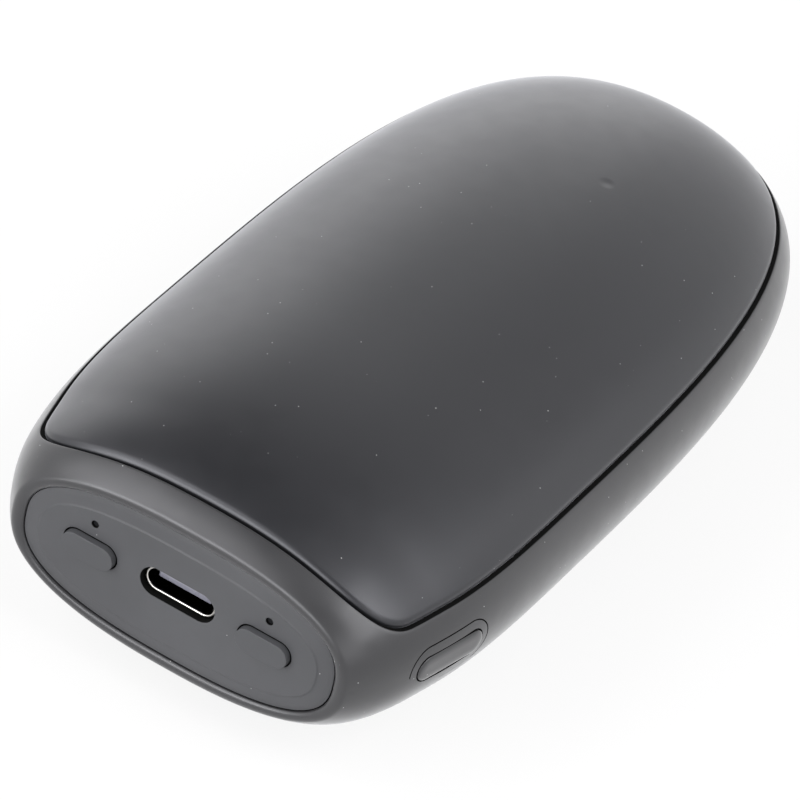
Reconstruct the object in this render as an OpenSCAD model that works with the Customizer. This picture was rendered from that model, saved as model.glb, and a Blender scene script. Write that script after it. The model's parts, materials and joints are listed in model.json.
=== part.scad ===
// Rechargeable hand warmer: a pebble of two metal covers on a moulded frame.
// Inside are two cells in a cradle, a heating film and a foam pad under each cover,
// and a control board behind the socket end.
// The socket end faces -Y, the underside rests on Z = 0, and the overall box is centred on X and Y.
// Shapes are drawn in the body's own coordinates: Y = 0 is the mouth of the socket end
// and Z = 0 is the middle of the thickness. at_body() moves them to their place.

/* [Body] */
// Length from the mouth of the socket end to the round end
body_len = 106; // [103:1:116]
// Width at the widest station
body_w = 56; // [55:1:62]
// Thickness before the underside is flattened
body_t = 30.5; // [30:0.5:36]
// Distance from the mouth to the widest station
widest_y = 38.5; // [36:0.5:41]
// Depth of the small flat that the underside rests on
rest_flat = 0.25; // [0.15:0.05:0.35]
// Distance that the width's curve would run on past the mouth
nose_w_run = 5.7; // [5:0.1:6.5]
// Distance that the thickness's curve would run on past the mouth
nose_t_run = 2.5; // [2:0.1:3]

/* [Covers] */
// Wall of the two metal covers
cover_wall = 1.0; // [0.8:0.1:1.1]
// Height of the side seam above the middle of the body
seam_z = 5.7; // [5:0.1:6.5]
// Distance of the front seam from the mouth
seam_y = 3.25; // [3.2:0.05:4]
// Radius where the side seam turns up into the front seam
seam_r = 4.8; // [3.5:0.1:5]
// Open gap between a cover and the frame
seam_gap = 0.25; // [0.15:0.05:0.3]

/* [Frame] */
// Wall of the frame
frame_wall = 2.2; // [2.1:0.1:2.4]
// Wall behind the end panel, with the ledge
front_wall = 3.1; // [3:0.1:3.2]
// Height of the lip that stands behind each cover's edge
lip_h = 1.6; // [1.2:0.1:2]
// Clearance between the lip and the cover
lip_gap = 0.15; // [0.1:0.05:0.2]

/* [End panel] */
// Width of the frame's rim at each side of the mouth
rim_side = 1.28; // [1:0.05:1.6]
// Height of the frame's rim over and under the mouth
rim_top = 1.0; // [0.8:0.05:1.3]
// Thickness of the end panel
panel_t = 1.9; // [1.8:0.1:2]
// Clearance round the end panel
panel_gap = 0.15; // [0.1:0.05:0.2]
// Width of the sloping border of the end panel
border_w = 1.95; // [1.5:0.05:2.2]
// Fall of the sloping border
border_drop = 0.45; // [0.3:0.05:0.6]
// Width of the ledge that the panel is glued to
ledge_w = 1.6; // [1.4:0.1:1.8]
// Thickness of the glued ring behind the panel
gasket_t = 0.2; // [0.15:0.05:0.25]

/* [Front buttons] */
// Distance of each front button inward from the middle of the space beside the socket
button_in = 0.185; // [0:0.005:0.4]
// Height of the front buttons above the middle
button_z = 0.6; // [0.5:0.1:0.8]
// Length of a front button
button_w = 6.5; // [6:0.1:6.8]
// Height of a front button
button_h = 3.0; // [2.8:0.1:3.2]
// Distance that a front button stands out of the panel
button_proud = 0.75; // [0.65:0.05:0.9]
// Travel of a front button
button_travel = 0.5; // [0.4:0.05:0.5]
// Clearance round every button
button_gap = 0.12; // [0.08:0.02:0.16]
// Height of the lamp holes above the middle
lamp_z = 4.0; // [3.9:0.1:4.3]
// Diameter of the lamp holes
lamp_d = 0.8; // [0.7:0.05:1]

/* [Side button] */
// Distance of the side button from the mouth
side_y = 13.05; // [12.8:0.05:13.4]
// Height of the side button above the middle
side_z = 0.15; // [0:0.05:0.3]
// Length of the side button
side_w = 10; // [9:0.1:10.4]
// Height of the side button
side_h = 3.1; // [2.8:0.1:3.4]
// Length of the pocket round the side button
pocket_w = 12.3; // [12:0.1:12.8]
// Height of the pocket
pocket_h = 5.8; // [5.2:0.1:6.2]
// Depth of the pocket
pocket_depth = 0.35; // [0.25:0.05:0.5]
// Travel of the side button
side_travel = 0.5; // [0.4:0.05:0.5]

/* [Socket] */
// Width of the charging socket's shell
socket_w = 8.94; // [8.9:0.01:9]
// Height of the shell
socket_h = 3.2; // [3.1:0.02:3.26]
// Length of the shell
socket_len = 7.35; // [7:0.05:7.8]
// Wall of the shell
socket_wall = 0.3; // [0.25:0.01:0.32]
// Distance of the shell's front edge behind the panel's face
socket_recess = 0.7; // [0.5:0.05:0.9]
// Height of the socket above the middle
socket_z = 0.85; // [0.8:0.05:1]
// Clearance between the shell and the panel
socket_gap = 0.25; // [0.15:0.05:0.35]

/* [Board] */
// Clearance between the control board's front corners and the frame
board_side = 0.76; // [0.6:0.01:1]
// Length of the control board
board_len = 18.4; // [18:0.1:18.8]
// Thickness of the control board
board_t = 1.0; // [0.8:0.1:1.2]
// Distance of the board from the mouth
board_y = 3.8; // [3.7:0.05:4]

/* [Battery] */
// Room between the cradle and the frame at the widest station
cell_side = 6.25; // [6.2:0.05:6.4]
// Room for cover, film, foam and cradle over and under the cells
cell_over = 6.05; // [6:0.05:6.2]
// Distance of the cells behind the control board
cell_front = 2.0; // [1.9:0.1:2.4]
// Distance of the cells from the round end
cell_back = 16.8; // [16.4:0.1:17.3]
// Open distance between the two cells
cell_space = 0.5; // [0.3:0.1:0.7]
// Wall of the battery cradle
cradle_wall = 0.9; // [0.8:0.05:1]

/* [Heating] */
// Thickness of a heating film
film_t = 0.25; // [0.2:0.05:0.3]
// Distance of a heating film's edge from the body's side
film_side = 9; // [8:0.5:11]
// Distance of a heating film's end from the cells' end
film_end = 12.2; // [10.2:0.5:18.2]
// Thickness of a foam pad
foam_t = 1.2; // [0.8:0.1:1.4]
// Distance of a foam pad's edge from the film's edge
foam_side = 2; // [1:0.5:4]
// Distance of a foam pad's end from the film's end
foam_end = 3; // [1:0.5:6]

/* [Hidden] */
$fn = 48;

// Powers of the curves that give the outline, the side view and the sections their shape
nose_power = 3.4;
tail_power = 3.15;
mouth_power = 2.45;
middle_power = 2.06;
oval_power = 2.6;
// Distance over which the sections change from the mouth's power to the middle's
power_run = 13;
// Counts of the rings and sides of the body's surfaces
front_rings = 9;
back_rings = 13;
ring_sides = 48;
oval_sides = 64;
// Overrun of every cut past the face it leaves
over = 1;
// Reach of a cut that has to clear the whole body
clear = 2 * body_len;
// Clearance of pieces that are set against each other inside
fit_gap = 0.1;

// Mouth of the socket end, and the buttons beside the socket
mouth_w = 2 * (half_w(0, 0) - rim_side);
mouth_h = 2 * (half_t(0, 0) - rim_top);
button_x = (socket_w / 2 + mouth_w / 2 - ledge_w) / 2 - button_in;

// Control board, and the cells as large as the room behind it lets them be
board_w = 2 * (half_w(board_y, frame_wall) - board_side);
board_rear = board_y + board_len;
cell_y = board_rear + cell_front;
cell_len = body_len - cell_back - cell_y;
cell_wide = body_w / 2 - frame_wall - cell_side - cradle_wall - cell_space / 2;
cell_high = body_t - 2 * cell_over;
cell_d = min(cell_wide, cell_high);

// Place of the body's own coordinates in the part's frame
mouth_y = (button_proud - body_len) / 2;
mid_z = body_t / 2 - rest_flat;

// Button caps, their inner flanges and the clearance to the switches behind
cap_chamfer = 0.2;
flange_t = 0.7;
flange_rim = 0.6;
stem_w = 2.4;
stem_h = 1.8;
stem_len = 0.65;
plunger_rest_gap = 0.25;
plunger_out = 0.6;
plunger_travel = 0.3;
plunger_w = 1.5;
plunger_h = 0.9;
plunger_gap = 0.05;
switch_w = 6;
switch_h = 2.7;
switch_depth = 2.8;
flange_y = panel_t + fit_gap;
plunger_tip = flange_y + flange_t + stem_len + plunger_rest_gap;
switch_y = plunger_tip + plunger_out;
board_top = socket_z - socket_h / 2;
switch_z = board_top + switch_h / 2;

// Side button: its wall pad, and its own distances inward from the body's skin
pad_depth = 3.0;
pad_rim = 1.2;
pad_cover = 0.4;
side_flange_s = pad_depth + fit_gap;
side_tip_s = side_flange_s + flange_t + stem_len + plunger_rest_gap;
side_switch_s = side_tip_s + plunger_out;
relief_gap = 0.3;
relief_s = side_flange_s + flange_t + side_travel + relief_gap;
side_skin = half_w(side_y, 0);
side_run = half_w(side_y + pocket_w / 2, 0) - half_w(side_y - pocket_w / 2, 0);
side_tilt = atan2(side_run, pocket_w);

// Tongue of the socket: a thin blade on a block that fills the back of the shell
tongue_w = 6.7;
tongue_t = 0.7;
tongue_root = 2.6;
tongue_front = 0.9;
contact_w = 0.25;
contact_t = 0.05;
contact_len = 3.2;
contact_pitch = 0.5;
contacts = 12;

// Lamps on the board and the clear pipes that bring their light to the panel
led_w = 1.6;
led_d = 0.8;
led_h = 0.6;
pipe_leg = 1.2;
pipe_recess = 0.3;
pipe_play = 0.02;
pipe_y = switch_y + switch_depth + led_w;

// Lugs inside the frame, with the screws that hold the board and the cradle
lug_t = 2.0;
lug_half = 3.0;
board_lug_in = 2.5;
board_screw_in = 2.2;
board_screw_back = 3.2;
screw_d = 1.6;
screw_head_d = 3.0;
screw_head_h = 1.0;
screw_bite = 1.6;
screw_play = 0.15;
board_screw_x = board_w / 2 - board_screw_in;
board_screw_y = board_y + board_len - board_screw_back;

// Cells, their straps and their cradle
cell_x = (cell_d + cell_space) / 2;
strap_t = 0.15;
strap_w = 26;
strap_h = 8;
ear_t = 1.2;
ear_half = 3.0;
split_gap = 0.2;
clamp_w = 8;
clamp_in = 12;
clamp_back = 19;
ear_out = 2.3;
clamp_web = 1.6;
trough_r = cell_d / 2 + fit_gap;
trough_out = trough_r + cradle_wall;
ear_x = cell_x + trough_out + ear_out;
cradle_end = 2.0;
stop_t = 0.9;
stop_w = 3.6;
stop_h = 4;
strap_clear = 0.1;
clamp_places = [cell_y + clamp_in, cell_y + cell_len - clamp_back];
can_edge = 0.4;
can_step = 0.6;
can_tip_r = 4.5;

// Pieces that stand on the board
chip_w = 6;
chip_h = 0.9;
driver_w = 4;
coil_w = 6.6;
coil_x = 9;
coil_back = 0.9;
coil_h = 3.0;
coil_corner = 1.4;
cap_d = 4.0;
cap_h = 3.6;
cap_back = 2.6;
chip_back = 2.4;
lead_socket_w = 4;
lead_socket_d = 4;
lead_socket_h = 3.2;
lead_socket_out = 1.25;
lead_socket_x = cell_x + stop_w / 2 + lead_socket_out;
lead_socket_in = 0.7;
lead_socket_y = board_rear - lead_socket_in;
cap_share = 0.2;
cap_room = lead_socket_x - lead_socket_w - cap_d;
cap_x = (lead_socket_w + cap_d) / 2 + cap_share * cap_room;
chip_y = pipe_y + chip_back;

// Leads
lead_d = 0.8;
battery_lead_d = 1.0;
lead_pitch = 1.3;
lead_up = 1.7;
lead_z = board_top + lead_up;
lead_sides = 8;

// Heating films, foam pads and sensors, all hung from the covers' inner skin
film_gap = 0.2;
foam_gap = 0.1;
film_inset = cover_wall + film_gap;
foam_inset = film_inset + film_t + foam_gap;
film_back = 0.8;
foam_back = 5;
sensor_back = 2.5;
film_y = cell_y + film_back;
film_len = cell_len - film_back - film_end;
film_w = body_w - 2 * film_side;
foam_y = film_y + foam_back;
foam_len = film_len - foam_back - foam_end;
foam_w = film_w - 2 * foam_side;
sheet_columns = 10;
sheet_rows = 14;
sensor_d = 1.2;
sensor_len = 2.6;
sensor_y = film_y + sensor_back;

// Powers that keep their sign
function signed_pow(v, p) = sign(v) * pow(abs(v), p);
function falloff(t, p) = pow(max(0, 1 - pow(abs(t), p)), 1 / p);

// Half width and half thickness of the body at a station, drawn in by an inset
function tail_share(y, inset) = (y - widest_y) / (body_len - widest_y - inset);
function nose_share(y, run, inset) = (widest_y - y) / (widest_y + run - inset);
function half_w(y, inset) = (body_w / 2 - inset) * (y < widest_y
    ? falloff(nose_share(y, nose_w_run, inset), nose_power)
    : falloff(tail_share(y, inset), tail_power));
function half_t(y, inset) = (body_t / 2 - inset) * (y < widest_y
    ? falloff(nose_share(y, nose_t_run, inset), nose_power)
    : falloff(tail_share(y, inset), tail_power));
function blend_share(y) = let (s = min(max(y / power_run, 0), 1)) s * s * (3 - 2 * s);
function section_power(y) = mouth_power + (middle_power - mouth_power) * blend_share(y);

// Height of the body's skin over a point of its plan, drawn in by an inset
function skin_z(x, y, inset) = half_t(y, inset)
    * falloff(x / half_w(y, inset), section_power(y));

// One closed ring of the body's skin at a station
function ring(y, inset) = let (e = 2 / section_power(y))
    [for (i = [0:ring_sides - 1]) let (a = 360 * i / ring_sides)
        [half_w(y, inset) * signed_pow(cos(a), e), y, half_t(y, inset) * signed_pow(sin(a), e)]];

// Stations from a front plane to just before the round end, closer where the form turns
function stations(inset, front) = let (
        reach = widest_y + nose_t_run - inset,
        last = asin(pow((widest_y - front) / reach, nose_power / 2)))
    concat(
        [for (k = [0:front_rings])
            widest_y - reach * pow(sin(last * (1 - k / front_rings)), 2 / nose_power)],
        [for (k = [1:back_rings - 1])
            widest_y + (body_len - widest_y - inset) * pow(sin(90 * k / back_rings), 2 / tail_power)]);

// Outline of an oval with full shoulders
function oval_points(w, h) = [for (i = [0:oval_sides - 1]) let (a = 360 * i / oval_sides)
    [w / 2 * signed_pow(cos(a), 2 / oval_power), h / 2 * signed_pow(sin(a), 2 / oval_power)]];

// Faces of a closed tube of rings, with the first ring and the last ring capped
function tube_faces(rings, sides) = concat(
    [[for (j = [sides - 1:-1:0]) j]],
    [for (i = [0:rings - 2]) for (j = [0:sides - 1])
        [i * sides + j, i * sides + (j + 1) % sides,
         (i + 1) * sides + (j + 1) % sides, (i + 1) * sides + j]],
    [[for (j = [0:sides - 1]) (rings - 1) * sides + j]]);

module at_body() {
    translate([0, mouth_y, mid_z]) children();
}

// The whole pebble as one solid, drawn in by an inset, from a front plane to the round end
module form(inset, front) {
    places = stations(inset, front);
    rows = len(places);
    skin = [for (y = places) each ring(y, inset)];
    sides = [for (i = [0:rows - 2]) for (j = [0:ring_sides - 1])
        [i * ring_sides + j, i * ring_sides + (j + 1) % ring_sides,
         (i + 1) * ring_sides + (j + 1) % ring_sides, (i + 1) * ring_sides + j]];
    tip = [for (j = [0:ring_sides - 1])
        [(rows - 1) * ring_sides + j, (rows - 1) * ring_sides + (j + 1) % ring_sides,
         rows * ring_sides]];
    polyhedron(
        points = concat(skin, [[0, body_len - inset, 0]]),
        faces = concat([[for (j = [ring_sides - 1:-1:0]) j]], sides, tip),
        convexity = 4);
}

// Everything above the upper seam; grow moves the seam outward from the cover
module above_seam(grow) {
    rotate([90, 0, 90])
        linear_extrude(clear, center = true) {
            translate([seam_y + seam_r, seam_z - grow]) square(clear);
            translate([seam_y - grow, seam_z + seam_r]) square(clear);
            translate([seam_y + seam_r, seam_z + seam_r]) circle(seam_r + grow);
        }
}

// The same for both covers
module beyond_seams(grow) {
    above_seam(grow);
    mirror([0, 0, 1]) above_seam(grow);
}

// A flat shape set across the mouth, between two stations
module front_prism(y0, y1) {
    translate([0, y1, 0]) rotate([90, 0, 0]) linear_extrude(y1 - y0) children();
}

// The side button's own coordinates: X leaves the skin, Y runs along it
module at_side() {
    translate([side_skin, side_y, side_z]) rotate([0, 0, -side_tilt]) children();
}

// A flat shape set along the side, between two distances inward from the skin
module side_prism(s0, s1) {
    translate([-s1, 0, 0]) rotate([90, 0, 90]) linear_extrude(s1 - s0) children();
}

// A flat slot shape with round ends
module pill(w, h) {
    square([w - h, h], center = true);
    for (s = [-1, 1]) translate([s * (w - h) / 2, 0]) circle(d = h);
}

// A flat rectangle with round corners
module round_rect(w, h, r) {
    square([w - 2 * r, h], center = true);
    square([w, h - 2 * r], center = true);
    for (sx = [-1, 1]) for (sy = [-1, 1])
        translate([sx * (w / 2 - r), sy * (h / 2 - r)]) circle(r);
}

module block(x0, x1, y0, y1, z0, z1) {
    translate([x0, y0, z0]) cube([x1 - x0, y1 - y0, z1 - z0]);
}

// Metal cover over the top
module cover_shell() {
    intersection() {
        difference() {
            form(0, 0);
            form(cover_wall, cover_wall);
        }
        above_seam(0);
    }
}

module top_cover() {
    color("#2b2b2d") at_body() cover_shell();
}

module bottom_cover() {
    color("#2b2b2d") at_body() difference() {
        mirror([0, 0, 1]) cover_shell();
        block(-clear, clear, -clear, clear, -clear, rest_flat - body_t / 2);
    }
}

// Lugs inside the frame that carry the board and the cradle
module frame_lugs() {
    board_under = board_top - board_t;
    cradle_under = -split_gap / 2 - ear_t;
    for (s = [-1, 1]) scale([s, 1, 1]) {
        block(board_screw_x - lug_half, clear, front_wall - over, board_y + board_lug_in,
              board_under - lug_t, board_under);
        block(board_screw_x - lug_half, clear, board_screw_y - lug_half,
              board_screw_y + lug_half - fit_gap, board_under - lug_t, board_under);
        for (y = clamp_places)
            block(ear_x - lug_half / 2, clear, y - lug_half, y + lug_half,
                  cradle_under - lug_t, cradle_under);
    }
}

module frame() {
    inner_front = cover_wall + lip_gap;
    color("#3a3b3e") at_body() difference() {
        union() {
            difference() {
                union() {
                    difference() {
                        form(0, 0);
                        beyond_seams(seam_gap);
                    }
                    difference() {
                        form(inner_front, inner_front);
                        beyond_seams(-lip_h);
                    }
                }
                form(frame_wall, front_wall);
            }
            intersection() {
                form(frame_wall / 2, front_wall / 2);
                union() {
                    frame_lugs();
                    at_side() side_prism(pad_cover, pad_depth)
                        pill(pocket_w + 2 * pad_rim, pocket_h + 2 * pad_rim);
                }
            }
        }
        front_prism(-over, panel_t + gasket_t) polygon(oval_points(mouth_w, mouth_h));
        front_prism(0, front_wall + over)
            polygon(oval_points(mouth_w - 2 * ledge_w, mouth_h - 2 * ledge_w));
        at_side() {
            side_prism(-over, pocket_depth) pill(pocket_w, pocket_h);
            side_prism(-over, pad_depth + over) pill(side_w + 2 * button_gap, side_h + 2 * button_gap);
            side_prism(pad_depth, relief_s)
                pill(side_w + 2 * (flange_rim + relief_gap), side_h + 2 * (flange_rim + relief_gap));
        }
        screw_places(over) cylinder(d = screw_d, h = screw_bite + over);
    }
}

// Children at the top of every lug, reaching down from a little above it
module screw_places(above) {
    for (s = [-1, 1]) {
        translate([s * board_screw_x, board_screw_y, board_top - board_t - screw_bite]) children();
        for (y = clamp_places)
            translate([s * ear_x, y, -split_gap / 2 - ear_t - screw_bite]) children();
    }
}

module end_panel() {
    edge_w = mouth_w - 2 * panel_gap;
    edge_h = mouth_h - 2 * panel_gap;
    skin = panel_gap;
    color("#3f4043") at_body() difference() {
        union() {
            front_prism(border_drop, panel_t) polygon(oval_points(edge_w, edge_h));
            hull() {
                front_prism(0, skin)
                    polygon(oval_points(mouth_w - 2 * border_w, mouth_h - 2 * border_w));
                front_prism(border_drop, border_drop + skin) polygon(oval_points(edge_w, edge_h));
            }
        }
        for (s = [-1, 1]) {
            translate([s * button_x, 0, button_z]) front_prism(-over, panel_t + over)
                pill(button_w + 2 * button_gap, button_h + 2 * button_gap);
            translate([s * button_x, panel_t + over, lamp_z]) rotate([90, 0, 0])
                cylinder(d = lamp_d, h = panel_t + 2 * over);
        }
        translate([0, 0, socket_z]) front_prism(-over, panel_t + over)
            pill(socket_w + 2 * socket_gap, socket_h + 2 * socket_gap);
    }
}

module panel_gasket() {
    color("#1c1c1e") at_body() front_prism(panel_t, panel_t + gasket_t) difference() {
        polygon(oval_points(mouth_w - 2 * panel_gap, mouth_h - 2 * panel_gap));
        polygon(oval_points(mouth_w - 2 * ledge_w, mouth_h - 2 * ledge_w));
    }
}

// A button cap: a pill with a bevelled face, a flange inside and a stem for the switch.
// The cap is drawn with its face at -proud and its length along +Y.
module button_cap(w, h, proud, flange_at, stem_z) {
    face = cap_chamfer - proud;
    front_prism(face, flange_at) pill(w, h);
    hull() {
        front_prism(-proud, -proud + cap_chamfer / 3) pill(w - 2 * cap_chamfer, h - 2 * cap_chamfer);
        front_prism(face - cap_chamfer / 3, face) pill(w, h);
    }
    front_prism(flange_at, flange_at + flange_t) pill(w + 2 * flange_rim, h + 2 * flange_rim);
    block(-stem_w / 2, stem_w / 2, flange_at + flange_t, flange_at + flange_t + stem_len,
          stem_z - stem_h / 2, stem_z + stem_h / 2);
}

module front_button(side) {
    color("#48494c") at_body() translate([side * button_x, 0, button_z])
        button_cap(button_w, button_h, button_proud, flange_y, switch_z - button_z);
}

module left_button() {
    front_button(-1);
}

module right_button() {
    front_button(1);
}

module side_button() {
    color("#48494c") at_body() at_side() rotate([0, 0, 90])
        button_cap(side_w, side_h, 0, side_flange_s, switch_z - side_z);
}

// Plunger of a switch, drawn from its tip along +Y and centred on X and Z
module plunger() {
    block(-plunger_w / 2, plunger_w / 2, 0, plunger_out + switch_depth / 3,
          -plunger_h / 2, plunger_h / 2);
}

module front_plunger(side) {
    color("#d9d9d6") at_body() translate([side * button_x, plunger_tip, switch_z]) plunger();
}

module left_plunger() {
    front_plunger(-1);
}

module right_plunger() {
    front_plunger(1);
}

module at_side_switch() {
    at_side() translate([0, 0, switch_z - side_z]) rotate([0, 0, 90]) children();
}

module side_plunger() {
    color("#d9d9d6") at_body() at_side_switch() translate([0, side_tip_s, 0]) plunger();
}

// Body of a switch with the slot that its plunger slides in
module switch_body() {
    slot = switch_depth / 3 + plunger_travel + plunger_gap;
    difference() {
        block(-switch_w / 2, switch_w / 2, 0, switch_depth, -switch_h / 2, switch_h / 2);
        block(-plunger_w / 2 - plunger_gap, plunger_w / 2 + plunger_gap, -over, slot,
              -plunger_h / 2 - plunger_gap, plunger_h / 2 + plunger_gap);
    }
}

module switch_bodies() {
    color("#8c8d90") at_body() {
        for (s = [-1, 1]) translate([s * button_x, switch_y, switch_z]) switch_body();
        at_side_switch() translate([0, side_switch_s, 0]) switch_body();
    }
}

module light_pipes() {
    leg_y = panel_t + fit_gap / 2;
    color("#e8eef2") at_body() for (s = [-1, 1]) translate([s * button_x, 0, 0]) {
        translate([0, leg_y, lamp_z]) rotate([90, 0, 0])
            cylinder(d = lamp_d - 2 * pipe_play, h = leg_y - pipe_recess);
        block(-pipe_leg / 2, pipe_leg / 2, leg_y, pipe_y + pipe_leg / 2,
              lamp_z - pipe_leg / 2, lamp_z + pipe_leg / 2);
        block(-pipe_leg / 2, pipe_leg / 2, pipe_y - pipe_leg / 2, pipe_y + pipe_leg / 2,
              board_top + led_h + fit_gap, lamp_z);
    }
}

module status_leds() {
    color("#f2f2ea") at_body() for (s = [-1, 1])
        block(s * button_x - led_w / 2, s * button_x + led_w / 2, pipe_y - led_d / 2,
              pipe_y + led_d / 2, board_top, board_top + led_h);
}

module at_socket() {
    translate([0, socket_recess, socket_z]) children();
}

module socket_shell() {
    corner = socket_h / 2 - socket_wall / 2;
    color("#c9ccd1") at_body() at_socket() difference() {
        front_prism(0, socket_len) round_rect(socket_w, socket_h, corner);
        front_prism(-over, socket_len - socket_wall)
            round_rect(socket_w - 2 * socket_wall, socket_h - 2 * socket_wall, corner - socket_wall);
    }
}

module socket_tongue() {
    inner_w = socket_w - 2 * socket_wall - fit_gap;
    inner_h = socket_h - 2 * socket_wall - fit_gap;
    back = socket_len - socket_wall;
    color("#1d1d20") at_body() at_socket() {
        front_prism(tongue_front, back - tongue_root) square([tongue_w, tongue_t], center = true);
        front_prism(back - tongue_root, back) round_rect(inner_w, inner_h, inner_h / 2 - fit_gap);
    }
}

module socket_contacts() {
    first = -(contacts - 1) / 2 * contact_pitch;
    start = tongue_front + contact_w;
    color("#d8b25a") at_body() at_socket() for (i = [0:contacts - 1]) for (s = [-1, 1])
        translate([first + i * contact_pitch, 0, s * (tongue_t + contact_t) / 2])
            block(-contact_w / 2, contact_w / 2, start, start + contact_len,
                  -contact_t / 2, contact_t / 2);
}

module main_board() {
    color("#1f5c3a") at_body() difference() {
        block(-board_w / 2, board_w / 2, board_y, board_rear, board_top - board_t, board_top);
        for (s = [-1, 1]) translate([s * board_screw_x, board_screw_y, board_top - board_t - over])
            cylinder(d = screw_d + 2 * screw_play, h = board_t + 2 * over);
    }
}

module control_chips() {
    color("#232326") at_body() {
        block(-chip_w / 2, chip_w / 2, chip_y, chip_y + chip_w, board_top, board_top + chip_h);
        block(-coil_x - driver_w / 2, -coil_x + driver_w / 2, chip_y, chip_y + driver_w,
              board_top, board_top + chip_h);
    }
}

module power_coil() {
    color("#4a4a4c") at_body() translate([coil_x, chip_y + chip_w / 2 - coil_back, board_top])
        linear_extrude(coil_h) round_rect(coil_w, coil_w, coil_corner);
}

module capacitors() {
    color("#b9bcc2") at_body() for (s = [-1, 1])
        translate([s * cap_x, board_rear - cap_back, board_top]) cylinder(d = cap_d, h = cap_h);
}

module lead_sockets() {
    color("#ece9df") at_body() for (x = [-lead_socket_x, 0, lead_socket_x])
        block(x - lead_socket_w / 2, x + lead_socket_w / 2, lead_socket_y - lead_socket_d,
              lead_socket_y, board_top, board_top + lead_socket_h);
}

// One cell, turned from its outline: a can with a groove under its crimp and a raised tip
module cell() {
    r = cell_d / 2;
    rotate([90, 0, 0]) rotate_extrude() polygon([
        [0, 0], [r - can_edge, 0], [r, can_edge], [r, cell_len - 4 * can_step],
        [r - can_step, cell_len - 3 * can_step], [r, cell_len - 2 * can_step],
        [r, cell_len - can_step], [can_tip_r, cell_len - can_step],
        [can_tip_r, cell_len], [0, cell_len]]);
}

module battery_cells() {
    color("#3a78b5") at_body() for (s = [-1, 1])
        translate([s * cell_x, cell_y + cell_len, 0]) cell();
}

module cell_straps() {
    color("#c6c6c2") at_body() for (y = [cell_y - strap_t, cell_y + cell_len])
        block(-strap_w / 2, strap_w / 2, y, y + strap_t, -strap_h / 2, strap_h / 2);
}

// Half of the cradle's tubes and web, below or above the middle, between two stations
module trough(y0, y1) {
    difference() {
        union() {
            for (s = [-1, 1]) translate([s * cell_x, y1, 0]) rotate([90, 0, 0])
                cylinder(r = trough_out, h = y1 - y0);
            block(-cell_x, cell_x, y0, y1, -trough_out, clamp_web - trough_out);
        }
        for (s = [-1, 1]) translate([s * cell_x, y1 + over, 0]) rotate([90, 0, 0])
            cylinder(r = trough_r, h = y1 - y0 + 2 * over);
        block(-clear, clear, y0 - over, y1 + over, -split_gap / 2, clear);
    }
}

// Ears at each side of a trough, with their screw holes
module ears(y) {
    difference() {
        for (s = [-1, 1]) scale([s, 1, 1])
            block(cell_x + trough_r + cradle_wall / 2, ear_x + ear_half / 2 + fit_gap,
                  y - ear_half, y + ear_half, -split_gap / 2 - ear_t, -split_gap / 2);
        for (s = [-1, 1]) translate([s * ear_x, y, -ear_t - over])
            cylinder(d = screw_d + 2 * screw_play, h = ear_t + 2 * over);
    }
}

module battery_cradle() {
    strap_room = strap_t + strap_clear;
    color("#55575b") at_body() {
        trough(cell_y + cradle_end, cell_y + cell_len - cradle_end);
        for (y = clamp_places) ears(y);
        for (s = [-1, 1]) translate([s * cell_x, 0, 0]) {
            block(-stop_w / 2, stop_w / 2, cell_y - strap_room - stop_t, cell_y + cradle_end + stop_t,
                  -trough_out + fit_gap, -trough_r - fit_gap);
            block(-stop_w / 2, stop_w / 2, cell_y - strap_room - stop_t, cell_y - strap_room,
                  -trough_out + fit_gap, -trough_out + stop_h);
            block(-stop_w / 2, stop_w / 2, cell_y + cell_len - cradle_end - stop_t,
                  cell_y + cell_len + strap_room + stop_t, -trough_out + fit_gap, -trough_r - fit_gap);
            block(-stop_w / 2, stop_w / 2, cell_y + cell_len + strap_room,
                  cell_y + cell_len + strap_room + stop_t, -trough_out + fit_gap,
                  -trough_out + stop_h);
        }
    }
}

module battery_clamps() {
    color("#55575b") at_body() mirror([0, 0, 1]) for (y = clamp_places) {
        trough(y - clamp_w / 2, y + clamp_w / 2);
        ears(y);
    }
}

// A screw whose head rests at Z = 0
module screw(len) {
    cylinder(d = screw_head_d, h = screw_head_h);
    translate([0, 0, -len]) cylinder(d = screw_d - fit_gap, h = len);
}

module cradle_screws() {
    color("#b4b7bb") at_body() for (s = [-1, 1]) for (y = clamp_places)
        translate([s * ear_x, y, split_gap / 2 + ear_t])
            screw(2 * ear_t + split_gap + screw_bite - fit_gap);
}

module board_screws() {
    color("#b4b7bb") at_body() for (s = [-1, 1])
        translate([s * board_screw_x, board_screw_y, board_top])
            screw(board_t + screw_bite - fit_gap);
}

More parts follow.
